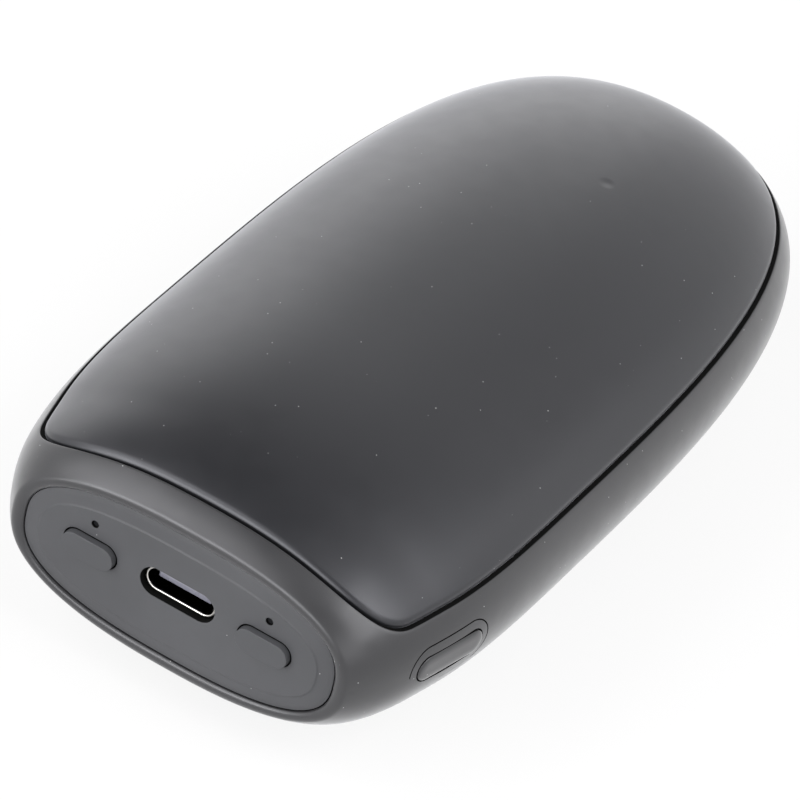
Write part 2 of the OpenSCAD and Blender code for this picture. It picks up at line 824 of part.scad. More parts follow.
// A thin sheet that follows the inner skin of a cover, between two insets
module sheet(w, y0, len, inset, t) {
    columns = sheet_columns + 1;
    rows = sheet_rows + 1;
    count = columns * rows;
    spots = [for (i = [0:sheet_rows]) for (j = [0:sheet_columns])
        [w * (j / sheet_columns - 1 / 2), y0 + len * i / sheet_rows]];
    outer = [for (p = spots) [p[0], p[1], skin_z(p[0], p[1], inset)]];
    inner = [for (p = spots) [p[0], p[1], skin_z(p[0], p[1], inset + t)]];
    cells = [for (i = [0:sheet_rows - 1]) for (j = [0:sheet_columns - 1]) i * columns + j];
    top = [for (c = cells) each [[c, c + columns, c + columns + 1], [c, c + columns + 1, c + 1]]];
    under = [for (c = cells) each [
        [count + c, count + c + columns + 1, count + c + columns],
        [count + c, count + c + 1, count + c + columns + 1]]];
    rim = concat(
        [for (j = [0:sheet_columns]) j],
        [for (i = [1:sheet_rows]) i * columns + sheet_columns],
        [for (j = [sheet_columns - 1:-1:0]) sheet_rows * columns + j],
        [for (i = [sheet_rows - 1:-1:1]) i * columns]);
    turns = len(rim);
    walls = [for (k = [0:turns - 1]) let (a = rim[k], b = rim[(k + 1) % turns])
        [a, b, count + b, count + a]];
    polyhedron(points = concat(outer, inner), faces = concat(top, under, walls), convexity = 4);
}

module heater() {
    sheet(film_w, film_y, film_len, film_inset, film_t);
}

module foam() {
    sheet(foam_w, foam_y, foam_len, foam_inset, foam_t);
}

module top_heater() {
    color("#c8742a") at_body() heater();
}

module bottom_heater() {
    color("#c8742a") at_body() mirror([0, 0, 1]) heater();
}

module top_foam() {
    color("#d6d3cb") at_body() foam();
}

module bottom_foam() {
    color("#d6d3cb") at_body() mirror([0, 0, 1]) foam();
}

// Bead sensors laid across each film, in front of the foam
module thermistors() {
    hang = skin_z(0, sensor_y, film_inset + film_t) - sensor_d / 2 - foam_gap;
    color("#2f2f33") at_body() for (s = [-1, 1]) translate([-sensor_len / 2, sensor_y, s * hang])
        rotate([0, 90, 0]) cylinder(d = sensor_d, h = sensor_len);
}

// Direction of a route at one of its points
function route_way(route, i) = let (
        a = route[max(i - 1, 0)],
        b = route[min(i + 1, len(route) - 1)])
    (b - a) / norm(b - a);

// A round lead swept along a route that stays close to one upright plane
module lead(route, d) {
    flat = [1, 0, 0];
    rings = [for (i = [0:len(route) - 1]) let (
            way = route_way(route, i),
            across = cross(way, cross(flat, way)),
            u = across / norm(across),
            v = cross(way, u))
        each [for (k = [0:lead_sides - 1]) let (a = 360 * k / lead_sides)
            route[i] + d / 2 * (cos(a) * u + sin(a) * v)]];
    polyhedron(points = rings, faces = tube_faces(len(route), lead_sides), convexity = 4);
}

// Route of one heater lead, from its socket past the cells' ends to the film; side is 1 or -1
function heater_route(x, side) = let (
        bend = battery_lead_d,
        rise_y = board_rear + lead_d,
        cell_top = cell_d / 2,
        end_y = film_y + 2 * lead_d,
        end_z = skin_z(abs(x), end_y, film_inset + film_t) - lead_d / 2 - foam_gap)
    [[x, lead_socket_y, lead_z],
     [x, rise_y - bend / 2, lead_z],
     [x, rise_y, lead_z + side * bend],
     [x, rise_y, side * cell_top / 2],
     [x, rise_y, side * cell_top],
     [x, rise_y + bend / 2, side * (cell_top + bend)],
     [x, rise_y + 2 * bend, side * (end_z - bend / 4)],
     [x, end_y, side * end_z]];

module heater_leads() {
    color("#e4e1d8") at_body() for (side = [-1, 1]) for (k = [-1, 1])
        lead(heater_route(-side * lead_socket_x + k * lead_pitch / 2, side), lead_d);
}

// The red lead comes from the near strap, the black one from the far strap along the cells
module battery_lead_red() {
    x = -lead_pitch / 2;
    d = battery_lead_d;
    color("#b3261e") at_body() lead([
        [x, lead_socket_y, lead_z],
        [x, lead_socket_y + d / 4, lead_z],
        [x, board_rear, lead_z + d / 4],
        [x, cell_y - strap_t - d / 2, strap_h / 4],
        [x, cell_y - strap_t - d / 2, strap_h / 2 - d / 2]], d);
}

module battery_lead_black() {
    x = lead_pitch / 2;
    d = battery_lead_d;
    ride = sqrt(pow(trough_out + d / 2 + fit_gap, 2) - pow(cell_x, 2));
    far = cell_y + cell_len + strap_t;
    color("#1a1a1c") at_body() lead([
        [x, lead_socket_y, lead_z],
        [x, lead_socket_y + d / 4, lead_z],
        [x, board_rear + d / 2, lead_z + d / 2],
        [x, cell_y - strap_t - d, ride - d],
        [x / 2, cell_y - strap_t, ride - d / 4],
        [0, cell_y + d, ride],
        [0, cell_y + cell_len - d, ride],
        [0, far + d / 4, ride - d / 4],
        [0, far + d / 2 + fit_gap, ride - d],
        [0, far + d / 2 + fit_gap, strap_h / 4]], d);
}

top_cover();
bottom_cover();
frame();
end_panel();
panel_gasket();
left_button();
right_button();
side_button();
left_plunger();
right_plunger();
side_plunger();
switch_bodies();
light_pipes();
status_leds();
socket_shell();
socket_tongue();
socket_contacts();
main_board();
control_chips();
power_coil();
capacitors();
lead_sockets();
battery_cells();
cell_straps();
battery_cradle();
battery_clamps();
cradle_screws();
board_screws();
top_heater();
bottom_heater();
top_foam();
bottom_foam();
thermistors();
battery_lead_red();
battery_lead_black();
heater_leads();
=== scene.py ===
"""A rechargeable hand warmer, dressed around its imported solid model.

Everything is in metres in the solid model's frame: the socket end faces -Y, the
underside rests on Z = 0. Curves are worked out in the body's own coordinates, where
Y = 0 is the mouth of the socket end and Z = 0 the middle of the thickness.
"""

from __future__ import annotations

import json
import logging
import math
from collections.abc import Iterator
from contextlib import contextmanager
from dataclasses import dataclass, replace
from enum import Enum

import bpy
import numpy as np
from mathutils import Matrix, Vector


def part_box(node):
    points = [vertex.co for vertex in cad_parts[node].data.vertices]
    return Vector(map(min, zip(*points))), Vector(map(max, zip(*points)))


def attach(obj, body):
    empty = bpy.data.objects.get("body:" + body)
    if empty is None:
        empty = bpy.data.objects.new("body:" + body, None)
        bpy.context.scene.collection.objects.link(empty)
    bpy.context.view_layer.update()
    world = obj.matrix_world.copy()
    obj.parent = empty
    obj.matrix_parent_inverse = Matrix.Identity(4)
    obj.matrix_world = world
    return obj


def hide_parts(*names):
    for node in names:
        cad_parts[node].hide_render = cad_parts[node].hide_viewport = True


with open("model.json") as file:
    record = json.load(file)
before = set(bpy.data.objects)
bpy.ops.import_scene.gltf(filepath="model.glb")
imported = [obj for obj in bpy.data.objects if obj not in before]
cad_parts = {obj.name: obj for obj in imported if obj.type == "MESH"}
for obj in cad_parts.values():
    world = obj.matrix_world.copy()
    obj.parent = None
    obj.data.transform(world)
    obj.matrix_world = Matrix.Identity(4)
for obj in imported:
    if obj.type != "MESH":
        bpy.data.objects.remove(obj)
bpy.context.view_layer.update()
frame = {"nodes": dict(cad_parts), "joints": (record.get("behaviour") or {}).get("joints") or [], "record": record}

log = logging.getLogger("hand_warmer")

Points = np.ndarray
Piece = bpy.types.Object
Material = bpy.types.Material
Wire = bpy.types.NodeSocket
Pair = tuple[float, float]
Triple = tuple[float, float, float]
Colour = tuple[float, float, float]

MM = 0.001
HOUSING = "housing"
# How nearly a face looks along -Y to count as a front, and as a flat one
FRONT = -0.99
FLAT_FRONT = -0.9999
# Reach within which vertices are doubles, step of a slope, and least divisor
DOUBLES = 1e-6
SLOPE_STEP = 1e-6
TINY = 1e-9
# Points on a curve before it is resampled, and halvings that find the skin
FINE_STEPS = 3000
HALVINGS = 48
MIRROR_X = np.array([-1.0, 1.0, 1.0])
MIRROR_Z = np.array([1.0, 1.0, -1.0])
# Places of a mix node's colour sockets
MIX_FACTOR, MIX_LOW, MIX_HIGH, MIX_RESULT = 0, 6, 7, 2


# Mesh helpers


def deselect_all() -> None:
    """Leave edit mode and clear the selection."""
    if bpy.context.object is not None and bpy.context.object.mode != "OBJECT":
        bpy.ops.object.mode_set(mode="OBJECT")
    bpy.ops.object.select_all(action="DESELECT")


def activate(piece: Piece) -> None:
    """Make a piece the only selected and the active object.

    Args:
        piece: The mesh object.
    """
    deselect_all()
    piece.select_set(True)
    bpy.context.view_layer.objects.active = piece


@contextmanager
def edited(piece: Piece, keep: np.ndarray | bool = True, part: str = "polygons") -> Iterator[None]:
    """Hold a piece in edit mode with only its marked elements selected.

    Args:
        piece: The mesh object.
        keep: One truth value for each element, or one for all.
        part: The kind of element, "polygons" or "vertices".

    Yields:
        Nothing, while the piece is in edit mode.
    """
    activate(piece)
    for kind in ("vertices", "edges", "polygons"):
        group = getattr(piece.data, kind)
        marks = np.zeros(len(group), dtype=bool)
        marks[:] = keep if kind == part else False
        group.foreach_set("select", marks)
    bpy.context.tool_settings.mesh_select_mode = (part == "vertices", False, part == "polygons")
    bpy.ops.object.mode_set(mode="EDIT")
    yield
    bpy.ops.object.mode_set(mode="OBJECT")


def apply_modifier(piece: Piece, kind: str, **settings: object) -> None:
    """Add a modifier, set it and apply it.

    Args:
        piece: The mesh object.
        kind: Blender's name of the modifier's type.
        **settings: Values for the modifier's properties.
    """
    activate(piece)
    modifier = piece.modifiers.new(kind.title(), kind)
    for key, value in settings.items():
        setattr(modifier, key, value)
    bpy.ops.object.modifier_apply(modifier=modifier.name)


def face_table(piece: Piece) -> tuple[Points, Points]:
    """Read the centres and normals of a piece's faces.

    Args:
        piece: The mesh object.

    Returns:
        The centres and the normals, one row for each face.
    """
    table = np.empty((2, len(piece.data.polygons) * 3))
    piece.data.polygons.foreach_get("center", table[0])
    piece.data.polygons.foreach_get("normal", table[1])
    return table[0].reshape(-1, 3), table[1].reshape(-1, 3)


def facing_front(piece: Piece, limit: float = FRONT) -> np.ndarray:
    """Mark the faces of a piece that look along -Y."""
    return face_table(piece)[1][:, 1] < limit


def merge_and_face_out(piece: Piece) -> None:
    """Merge a piece's double vertices and turn its faces outwards.

    Args:
        piece: The mesh object.
    """
    with edited(piece):
        bpy.ops.mesh.remove_doubles(threshold=DOUBLES)
        bpy.ops.mesh.normals_make_consistent(inside=False)


def lofted(name: str, rows: list[Points]) -> Piece:
    """Wrap a grid round a stack of closed rows of points.

    Args:
        name: Name of the new object.
        rows: The rows, all with the same number of points.

    Returns:
        The mesh, with its doubles merged.
    """
    stack = np.stack(rows)
    stack = np.concatenate([stack, stack[:, :1]], axis=1)
    high, wide = stack.shape[:2]
    deselect_all()
    bpy.ops.mesh.primitive_grid_add(x_subdivisions=wide - 1, y_subdivisions=high - 1, size=1)
    piece = bpy.context.object
    piece.name = name
    piece.data.vertices.foreach_set("co", stack.reshape(-1))
    merge_and_face_out(piece)
    return piece


def joined(name: str, parts: list[Piece]) -> Piece:
    """Join several meshes into one and merge where they meet.

    Args:
        name: Name of the whole.
        parts: The meshes.

    Returns:
        The whole.
    """
    activate(parts[0])
    for part in parts[1:]:
        part.select_set(True)
    bpy.ops.object.join()
    parts[0].name = name
    merge_and_face_out(parts[0])
    return parts[0]


def cut_away(piece: Piece, cutter: Piece) -> None:
    """Cut a closed mesh out of a piece and delete the cutter."""
    apply_modifier(piece, "BOOLEAN", object=cutter, operation="DIFFERENCE", solver="EXACT")
    bpy.data.objects.remove(cutter, do_unlink=True)


def place(piece: Piece, matrix: Matrix) -> None:
    """Move a piece's mesh, and leave its object at the origin."""
    piece.data.transform(matrix)
    piece.data.update()


def smooth(piece: Piece, angle: float) -> None:
    """Shade a piece smooth up to an angle in degrees."""
    activate(piece)
    bpy.ops.object.shade_smooth_by_angle(angle=math.radians(angle))


def block(name: str, size: tuple[float, ...], middle: tuple[float, ...]) -> Piece:
    """Make a plain block.

    Args:
        name: Name of the new object.
        size: Its lengths along X, Y and Z.
        middle: Its middle.

    Returns:
        The mesh.
    """
    deselect_all()
    bpy.ops.mesh.primitive_cube_add(size=1)
    piece = bpy.context.object
    piece.name = name
    place(piece, Matrix.Translation(middle) @ Matrix.Diagonal((*size, 1.0)))
    return piece


def pill_bar(
    name: str, size: Pair, front: float, back: float, sides: int = 64
) -> Piece:
    """Make a bar with round ends along X, from one Y to another.

    Args:
        name: Name of the new object.
        size: Length over the round ends, and height.
        front: Lower Y.
        back: Higher Y.
        sides: Number of points round the bar.

    Returns:
        The mesh, centred on X and Z.
    """
    width, height = size
    deselect_all()
    bpy.ops.mesh.primitive_cylinder_add(
        vertices=sides, radius=height / 2, depth=back - front, end_fill_type="NGON"
    )
    piece = bpy.context.object
    piece.name = name
    upright = Matrix.Rotation(math.pi / 2, 4, "X") @ Matrix.Rotation(math.pi / sides, 4, "Z")
    place(piece, Matrix.Translation((0, (front + back) / 2, 0)) @ upright)
    for side in (-1, 1):
        beside = np.array([vertex.co.x * side > 0 for vertex in piece.data.vertices])
        with edited(piece, beside, "vertices"):
            bpy.ops.transform.translate(value=(side * (width - height) / 2, 0, 0))
    return piece


def finish_piece(
    piece: Piece, material: Material, node: str, body: str = HOUSING,
    painted_shade: Material | None = None, deep: np.ndarray | None = None,
) -> None:
    """Dress a piece in its place, hide the solid that it stands for, tie it to its body, and log it.

    Args:
        piece: The mesh object.
        material: Its finish.
        node: The solid that it stands for.
        body: The body that it rides on.
        painted_shade: A second, near-black finish that paints shade onto faces down in gaps.
        deep: One truth value for each face, true where the painted shade goes.
    """
    piece.data.materials.append(material)
    if painted_shade is not None:
        piece.data.materials.append(painted_shade)
        piece.data.polygons.foreach_set("material_index", deep.astype(np.int32))
        piece.data.update()
    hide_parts(node)
    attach(piece, body)
    log.info("%s: %d faces, on %s", piece.name, len(piece.data.polygons), body)


# The body's form


def signed_power(values: Points, power: float) -> Points:
    """Raise sizes to a power and keep their signs."""
    return np.sign(values) * np.abs(values) ** power


def falloff(share: Points, power: float) -> Points:
    """Height of a superellipse's quarter over a share of its reach."""
    return np.maximum(0.0, 1.0 - np.abs(share) ** power) ** (1.0 / power)


def resampled(line: Points, count: int) -> Points:
    """Spread points evenly along a line.

    Args:
        line: The line's own points.
        count: Number of steps.

    Returns:
        count + 1 points, both ends included.
    """
    steps = np.linalg.norm(np.diff(line, axis=0), axis=1)
    run = np.concatenate([[0.0], np.cumsum(steps)])
    spots = np.linspace(0.0, run[-1], count + 1)
    return np.stack([np.interp(spots, run, line[:, axis]) for axis in range(3)], axis=1)


def quarter_oval(half: Pair, power: float, y: float, count: int) -> Points:
    """Quarter of a superellipse at a station, from its top to its right.

    Args:
        half: Half width and half height.
        power: The superellipse's power.
        y: The station.
        count: Number of steps.

    Returns:
        The points, evenly spread.
    """
    angle = np.linspace(math.pi / 2, 0.0, FINE_STEPS)
    waves = (np.cos(angle), np.sin(angle))
    x, z = (size * signed_power(wave, 2.0 / power) for size, wave in zip(half, waves))
    return resampled(np.stack([x, np.full_like(angle, y), z], axis=1), count)


def slowed(start: float, end: float, power: int) -> Points:
    """Stations from a start to an end that lie closer and closer."""
    return start + (end - start) * (1.0 - (1.0 - np.linspace(0.0, 1.0, FINE_STEPS)) ** power)


def whole_loop(quarter: Points) -> Points:
    """Close a right half into a loop with its mirror image."""
    return np.concatenate([quarter, quarter[-2:0:-1] * MIRROR_X])


def full_oval(quarter: Points) -> Points:
    """Close a quarter of an oval into a loop."""
    return whole_loop(np.concatenate([quarter, quarter[-2::-1] * MIRROR_Z]))


def unit(rays: Points) -> Points:
    """Rays, all one long."""
    return rays / np.linalg.norm(rays, axis=-1, keepdims=True)


@dataclass(frozen=True)
class Pebble:
    """The body's outer form: sections that shrink towards both ends.

    Lengths are in metres in the body's own coordinates.
    """

    length: float
    width: float
    thickness: float
    widest: float = 38.5 * MM
    nose_width_run: float = 5.7 * MM
    nose_height_run: float = 2.5 * MM
    nose_power: float = 3.4
    tail_power: float = 3.15
    mouth_power: float = 2.45
    middle_power: float = 2.06
    power_run: float = 13.0 * MM
    inset: float = 0.0

    def shrunk(self, inset: float) -> Pebble:
        """The same form with its skin drawn in."""
        return replace(self, inset=inset)

    def half_size(self, y: Points, nose_run: float, half: float) -> Points:
        """Half size of the sections in one of the two directions.

        Args:
            y: The stations.
            nose_run: Distance past the mouth at which the form would close.
            half: Largest half size.

        Returns:
            Half the size at each station.
        """
        y = np.asarray(y, dtype=float)
        nose_share = (self.widest - y) / (self.widest + nose_run - self.inset)
        tail_share = (y - self.widest) / (self.length - self.widest - self.inset)
        nose, tail = falloff(nose_share, self.nose_power), falloff(tail_share, self.tail_power)
        return (half - self.inset) * np.where(y < self.widest, nose, tail)

    def half_width(self, y: Points) -> Points:
        """Half width of the section at a station."""
        return self.half_size(y, self.nose_width_run, self.width / 2)

    def half_height(self, y: Points) -> Points:
        """Half height of the section at a station."""
        return self.half_size(y, self.nose_height_run, self.thickness / 2)

    def power(self, y: Points) -> Points:
        """Powers of the sections' superellipses, eased from the mouth's to the middle's.

        Args:
            y: The stations.

        Returns:
            The power at each station.
        """
        share = np.clip(np.asarray(y, dtype=float) / self.power_run, 0.0, 1.0)
        eased = share * share * (3.0 - 2.0 * share)
        return self.mouth_power + (self.middle_power - self.mouth_power) * eased

    def fullness(self, points: Points) -> Points:
        """How far out points are.

        Args:
            points: The points.

        Returns:
            For each, a value below 1 inside the skin and above 1 outside.
        """
        x, y, z = points[..., 0], points[..., 1], points[..., 2]
        wide = np.maximum(self.half_width(y), TINY)
        high = np.maximum(self.half_height(y), TINY)
        power = self.power(y)
        return (np.abs(x) / wide) ** power + (np.abs(z) / high) ** power

    @property
    def core(self) -> Points:
        """The point from which every part of the skin is in sight."""
        return np.array([0.0, self.widest, 0.0])

    def cast(self, points: Points) -> Points:
        """Move points along their rays from the core onto the skin.

        Args:
            points: The points.

        Returns:
            Points on the skin.
        """
        rays = unit(points - self.core)
        low = np.zeros(rays.shape[:-1])
        high = np.full(rays.shape[:-1], self.length)
        for _ in range(HALVINGS):
            middle = (low + high) / 2
            inside = self.fullness(self.core + rays * middle[..., None]) < 1.0
            low = np.where(inside, middle, low)
            high = np.where(inside, high, middle)
        return self.core + rays * low[..., None]

    def between(self, start: Points, end: Points, share: float) -> Points:
        """Points on the skin part of the way from one row to another.

        Args:
            start: The first row.
            end: The second row.
            share: Share of the way.

        Returns:
            A row between them.
        """
        stretch = np.array([self.width / 2, self.length - self.widest, self.thickness / 2])
        a = (start - self.core) / stretch
        b = (end - self.core) / stretch
        return self.cast(self.core + ((1.0 - share) * a + share * b) * stretch)

    def normals(self, points: Points) -> Points:
        """Outward normals of the skin.

        Args:
            points: Points on it.

        Returns:
            The normal at each.
        """
        steps = SLOPE_STEP * np.eye(3)
        slopes = [self.fullness(points + step) - self.fullness(points - step) for step in steps]
        return unit(np.stack(slopes, axis=-1))

    def section(self, y: float, count: int) -> Points:
        """Quarter of the section at a station, from its top to its right."""
        half = (float(self.half_width(y)), float(self.half_height(y)))
        return quarter_oval(half, float(self.power(y)), y, count)

    def across(self, y: Points, z: Points) -> Points:
        """Right-hand skin points.

        Args:
            y: Their stations.
            z: Their heights.

        Returns:
            The points.
        """
        share = np.clip(z / np.maximum(self.half_height(y), TINY), 0.0, 1.0)
        return np.stack([self.half_width(y) * falloff(share, self.power(y)), y, z], axis=-1)


@dataclass(frozen=True)
class Seam:
    """The line where a cover meets the frame, seen from the side.

    It runs level along the sides, turns up in an arc and crosses the front upright.
    """

    height: float
    front: float
    corner: float = 4.8 * MM

    def quarter(self, form: Pebble, grow: float, front_count: int, side_count: int) -> Points:
        """Right half of the seam on a form, from the front's middle to the back's.

        Args:
            form: The skin that the line lies on.
            grow: Distance that the line is moved out of the cover.
            front_count: Steps over the front and its corner.
            side_count: Steps along the side.

        Returns:
            The points, in order.
        """
        radius = self.corner + grow
        turn_y, turn_z = self.front + self.corner, self.height + self.corner
        level, front_y = self.height - grow, self.front - grow
        top = float(form.half_height(front_y))
        power = float(form.power(front_y))
        low = math.asin(min(1.0, turn_z / top) ** (power / 2.0))
        z = top * np.sin(np.linspace(math.pi / 2, low, FINE_STEPS)) ** (2.0 / power)
        front = form.across(np.full_like(z, front_y), z)
        turn = np.linspace(0.0, math.pi / 2, FINE_STEPS)
        arc = form.across(turn_y - radius * np.cos(turn), turn_z - radius * np.sin(turn))
        end_share = falloff(np.array(level / (form.thickness / 2 - form.inset)), form.tail_power)
        end_y = form.widest + (form.length - form.widest - form.inset) * float(end_share)
        y = slowed(turn_y, end_y, power=2)
        side = form.across(y, np.full_like(y, level))
        side[-1, 0] = 0.0
        over = resampled(np.concatenate([front, arc]), front_count)
        return np.concatenate([over[:-1], resampled(side, side_count)])


def upside_down(rows: list[Points]) -> list[Points]:
    """Mirror rows through the middle of the thickness."""
    return [row * MIRROR_Z for row in rows]


def rolled_edge(
    form: Pebble, loop: Points, radius: float, steps: int, inward: int
) -> list[Points]:
    """Rows that round the edge of a skin over into its wall.

    Args:
        form: The skin.
        loop: The edge, as a closed loop on the skin.
        radius: Radius of the rounding.
        steps: Number of faces across it.
        inward: 1 if the skin lies to the left of the loop's run, -1 if to its right.

    Returns:
        Rows from the skin down to the wall.
    """
    normals = form.normals(loop)
    along = unit(np.roll(loop, -1, axis=0) - np.roll(loop, 1, axis=0))
    aside = np.cross(normals, along) * inward
    rows = []
    for turn in np.linspace(0.0, math.pi / 2, steps + 1):
        foot = form.cast(loop + aside * radius * (1.0 - math.sin(turn)))
        rows.append(foot - normals * radius * (1.0 - math.cos(turn)))
    return rows


# Finishes


class Graph:
    """A node tree that grows by one call for each node."""

    def __init__(self, owner: Material | bpy.types.World) -> None:
        """Empty the tree of a material or world.

        Args:
            owner: The material or world.
        """
        owner.use_nodes = True
        self.tree = owner.node_tree
        self.tree.nodes.clear()

    def feed(self, node: bpy.types.Node, inputs: dict[str | int, object]) -> None:
        """Set a node's inputs.

        Args:
            node: The node.
            inputs: Values, or other nodes' outputs to link, by the inputs' names or places.
        """
        for key, value in inputs.items():
            if isinstance(value, Wire):
                self.tree.links.new(value, node.inputs[key])
            else:
                node.inputs[key].default_value = value

    def node(
        self, kind: str, inputs: dict[str | int, object] | None = None, **settings: str
    ) -> bpy.types.bpy_prop_collection:
        """Add a node.

        Args:
            kind: Its type.
            inputs: What goes into it, as feed takes it.
            **settings: Values for its own properties.

        Returns:
            Its outputs.
        """
        node = self.tree.nodes.new(kind)
        for key, value in settings.items():
            setattr(node, key, value)
        self.feed(node, inputs or {})
        return node.outputs

    def math(self, operation: str, first: Wire, second: Wire | float) -> Wire:
        """One sum on two values."""
        return self.node("ShaderNodeMath", {0: first, 1: second}, operation=operation)["Value"]

    def ranged(
        self, value: Wire, low: Wire | float, high: Wire | float,
        start: float = 0.3, end: float = 0.7, **settings: str,
    ) -> Wire:
        """Lay a value's run onto another.

        Args:
            value: The value.
            low: What it becomes at the start of its run.
            high: What it becomes at the end.
            start: Start of its run.
            end: End of its run.
            **settings: Values for the node's own properties.

        Returns:
            The result.
        """
        inputs = {"Value": value, "From Min": start, "From Max": end, "To Min": low, "To Max": high}
        return self.node("ShaderNodeMapRange", inputs, **settings)["Result"]

    def white_rays(self, share: float) -> Wire:
        """Tell the rays of camera, gloss and transmission from all others.

        Args:
            share: What such rays get.

        Returns:
            The share for them and 0 for the others.
        """
        ray = self.node("ShaderNodeLightPath")
        seen = self.math("MAXIMUM", ray["Is Camera Ray"], ray["Is Glossy Ray"])
        seen = self.math("MAXIMUM", seen, ray["Is Transmission Ray"])
        return self.math("MULTIPLY", seen, share)


class Surface(Graph):
    """A material's tree with its output and main shader, over object coordinates."""

    def __init__(self, name: str) -> None:
        """Start an empty material.

        Args:
            name: Its name.
        """
        self.material = bpy.data.materials.new(name)
        super().__init__(self.material)
        self.shader = self.tree.nodes.new("ShaderNodeBsdfPrincipled")
        self.node("ShaderNodeOutputMaterial", {"Surface": self.shader.outputs["BSDF"]})
        self.spot = self.node("ShaderNodeTexCoord")["Object"]
        self.relief: dict[str | int, object] = {}

    def set(self, **values: object) -> None:
        """Set the main shader's inputs, with underscores for spaces."""
        self.feed(self.shader, {key.replace("_", " "): value for key, value in values.items()})

    def mapping(self, **values: Triple) -> Wire:
        """Object coordinates, moved, turned or scaled."""
        return self.node("ShaderNodeMapping", {"Vector": self.spot, **values})["Vector"]

    def noise(self, scale: float, detail: float, spot: Wire | None = None) -> Wire:
        """Noise over object coordinates, or over a mapping of them."""
        inputs = {"Scale": scale, "Detail": detail, "Vector": spot or self.spot}
        return self.node("ShaderNodeTexNoise", inputs)["Fac"]

    def mixed(self, factor: Wire, low: Wire | Colour, high: Wire | Colour) -> Wire:
        """Blend two colours.

        Args:
            factor: Share of the second colour.
            low: The first colour.
            high: The second colour.

        Returns:
            The blend.
        """
        inputs = {MIX_FACTOR: factor}
        for place_in, colour in ((MIX_LOW, low), (MIX_HIGH, high)):
            inputs[place_in] = colour if isinstance(colour, Wire) else (*colour, 1.0)
        return self.node("ShaderNodeMix", inputs, data_type="RGBA")[MIX_RESULT]

    def bump(self, height: Wire, depth: float) -> None:
        """Raise the surface, and chain on any relief before it.

        Args:
            height: Height of each place as a share of the depth.
            depth: The depth.
        """
        inputs = {"Strength": 1.0, "Distance": depth, "Height": height, **self.relief}
        self.relief = {"Normal": self.node("ShaderNodeBump", inputs)["Normal"]}
        self.feed(self.shader, self.relief)


def shaded(colour: Colour, factor: float) -> Colour:
    """A colour made darker or paler by a factor."""
    return tuple(part * factor for part in colour)


@dataclass(frozen=True)
class Finish:
    """A finish that makes its own material."""

    name: str

    def build(self) -> Material:
        """Make the material.

        Returns:
            The new material.
        """
        surface = Surface(self.name)
        self.wire(surface)
        return surface.material

    def wire(self, surface: Surface) -> None:
        """Lead the finish's colour, roughness and relief into the shader."""


@dataclass(frozen=True)
class Moulded(Finish):
    """Moulded plastic or rubber: one colour with cloudiness, grain and dust."""

    colour: Colour
    roughness: float = 0.5
    spread: float = 0.05
    cloud: float = 0.12
    cloud_scale: float = 60.0
    cloud_detail: float = 4.0
    patch_scale: float = 360.0
    patch_detail: float = 3.0
    grain_scale: float = 6000.0
    grain_detail: float = 1.0
    grain_depth: float = 0.004 * MM
    dust: float = 0.0
    dust_scale: float = 1500.0
    dust_reach: Pair = (0.06, 0.11)
    dust_colour: Colour = (0.55, 0.55, 0.55)
    specular: float = 0.5
    sheen: float = 0.0
    sheen_roughness: float = 0.35
    coat: float = 0.0
    coat_ior: float = 1.25
    coat_roughness: float = 0.3
    tone: Colour = (1.0, 1.0, 1.0)

    def wire(self, surface: Surface) -> None:
        """Lead gloss, a slightly cloudy colour and roughness, and grain into the shader.

        Args:
            surface: The material's tree.
        """
        tone = (*self.tone, 1.0)
        cloud = surface.ranged(surface.noise(self.cloud_scale, self.cloud_detail), 0.0, 1.0)
        dark, pale = (shaded(self.colour, 1.0 + side * self.cloud) for side in (-1, 1))
        base = surface.mixed(cloud, dark, pale)
        patches = surface.noise(self.patch_scale, self.patch_detail)
        ends = (self.roughness - self.spread, self.roughness + self.spread)
        surface.set(
            Base_Color=self.speckled(surface, base) if self.dust else base,
            Roughness=surface.ranged(patches, *ends),
            Specular_IOR_Level=self.specular, Specular_Tint=tone,
            Sheen_Weight=self.sheen, Sheen_Roughness=self.sheen_roughness, Sheen_Tint=tone,
            Coat_Weight=self.coat, Coat_IOR=self.coat_ior, Coat_Roughness=self.coat_roughness,
        )
        surface.bump(surface.noise(self.grain_scale, self.grain_detail), self.grain_depth)

    def speckled(self, surface: Surface, base: Wire) -> Wire:
        """Scatter small pale specks of dust over a colour.

        Args:
            surface: The material's tree.
            base: The colour.

        Returns:
            The colour with its dust.
        """
        inputs = {"Scale": self.dust_scale, "Vector": surface.spot}
        cells = surface.node("ShaderNodeTexVoronoi", inputs)
        near = surface.ranged(cells["Distance"], 1.0, 0.0, *self.dust_reach)
        chance = surface.node("ShaderNodeSeparateColor", {"Color": cells["Color"]})["Red"]
        rare = surface.math("GREATER_THAN", chance, 1.0 - self.dust)
        return surface.mixed(surface.math("MULTIPLY", near, rare), base, self.dust_colour)


@dataclass(frozen=True)
class DentedCoat(Moulded):
    """The top cover's coat, with one small dent."""

    dent: Triple = (0.0, 0.0, 0.0)
    dent_radius: float = 1.1 * MM
    dent_depth: float = 0.1 * MM

    def wire(self, surface: Surface) -> None:
        """Press the dent into the coat.

        Args:
            surface: The material's tree.
        """
        super().wire(surface)
        inputs = {0: surface.spot, 1: self.dent}
        distance = surface.node("ShaderNodeVectorMath", inputs, operation="DISTANCE")["Value"]
        run = (0.0, 1.0, 0.0, self.dent_radius)
        bowl = surface.ranged(distance, *run, interpolation_type="SMOOTHSTEP")
        surface.bump(bowl, self.dent_depth)


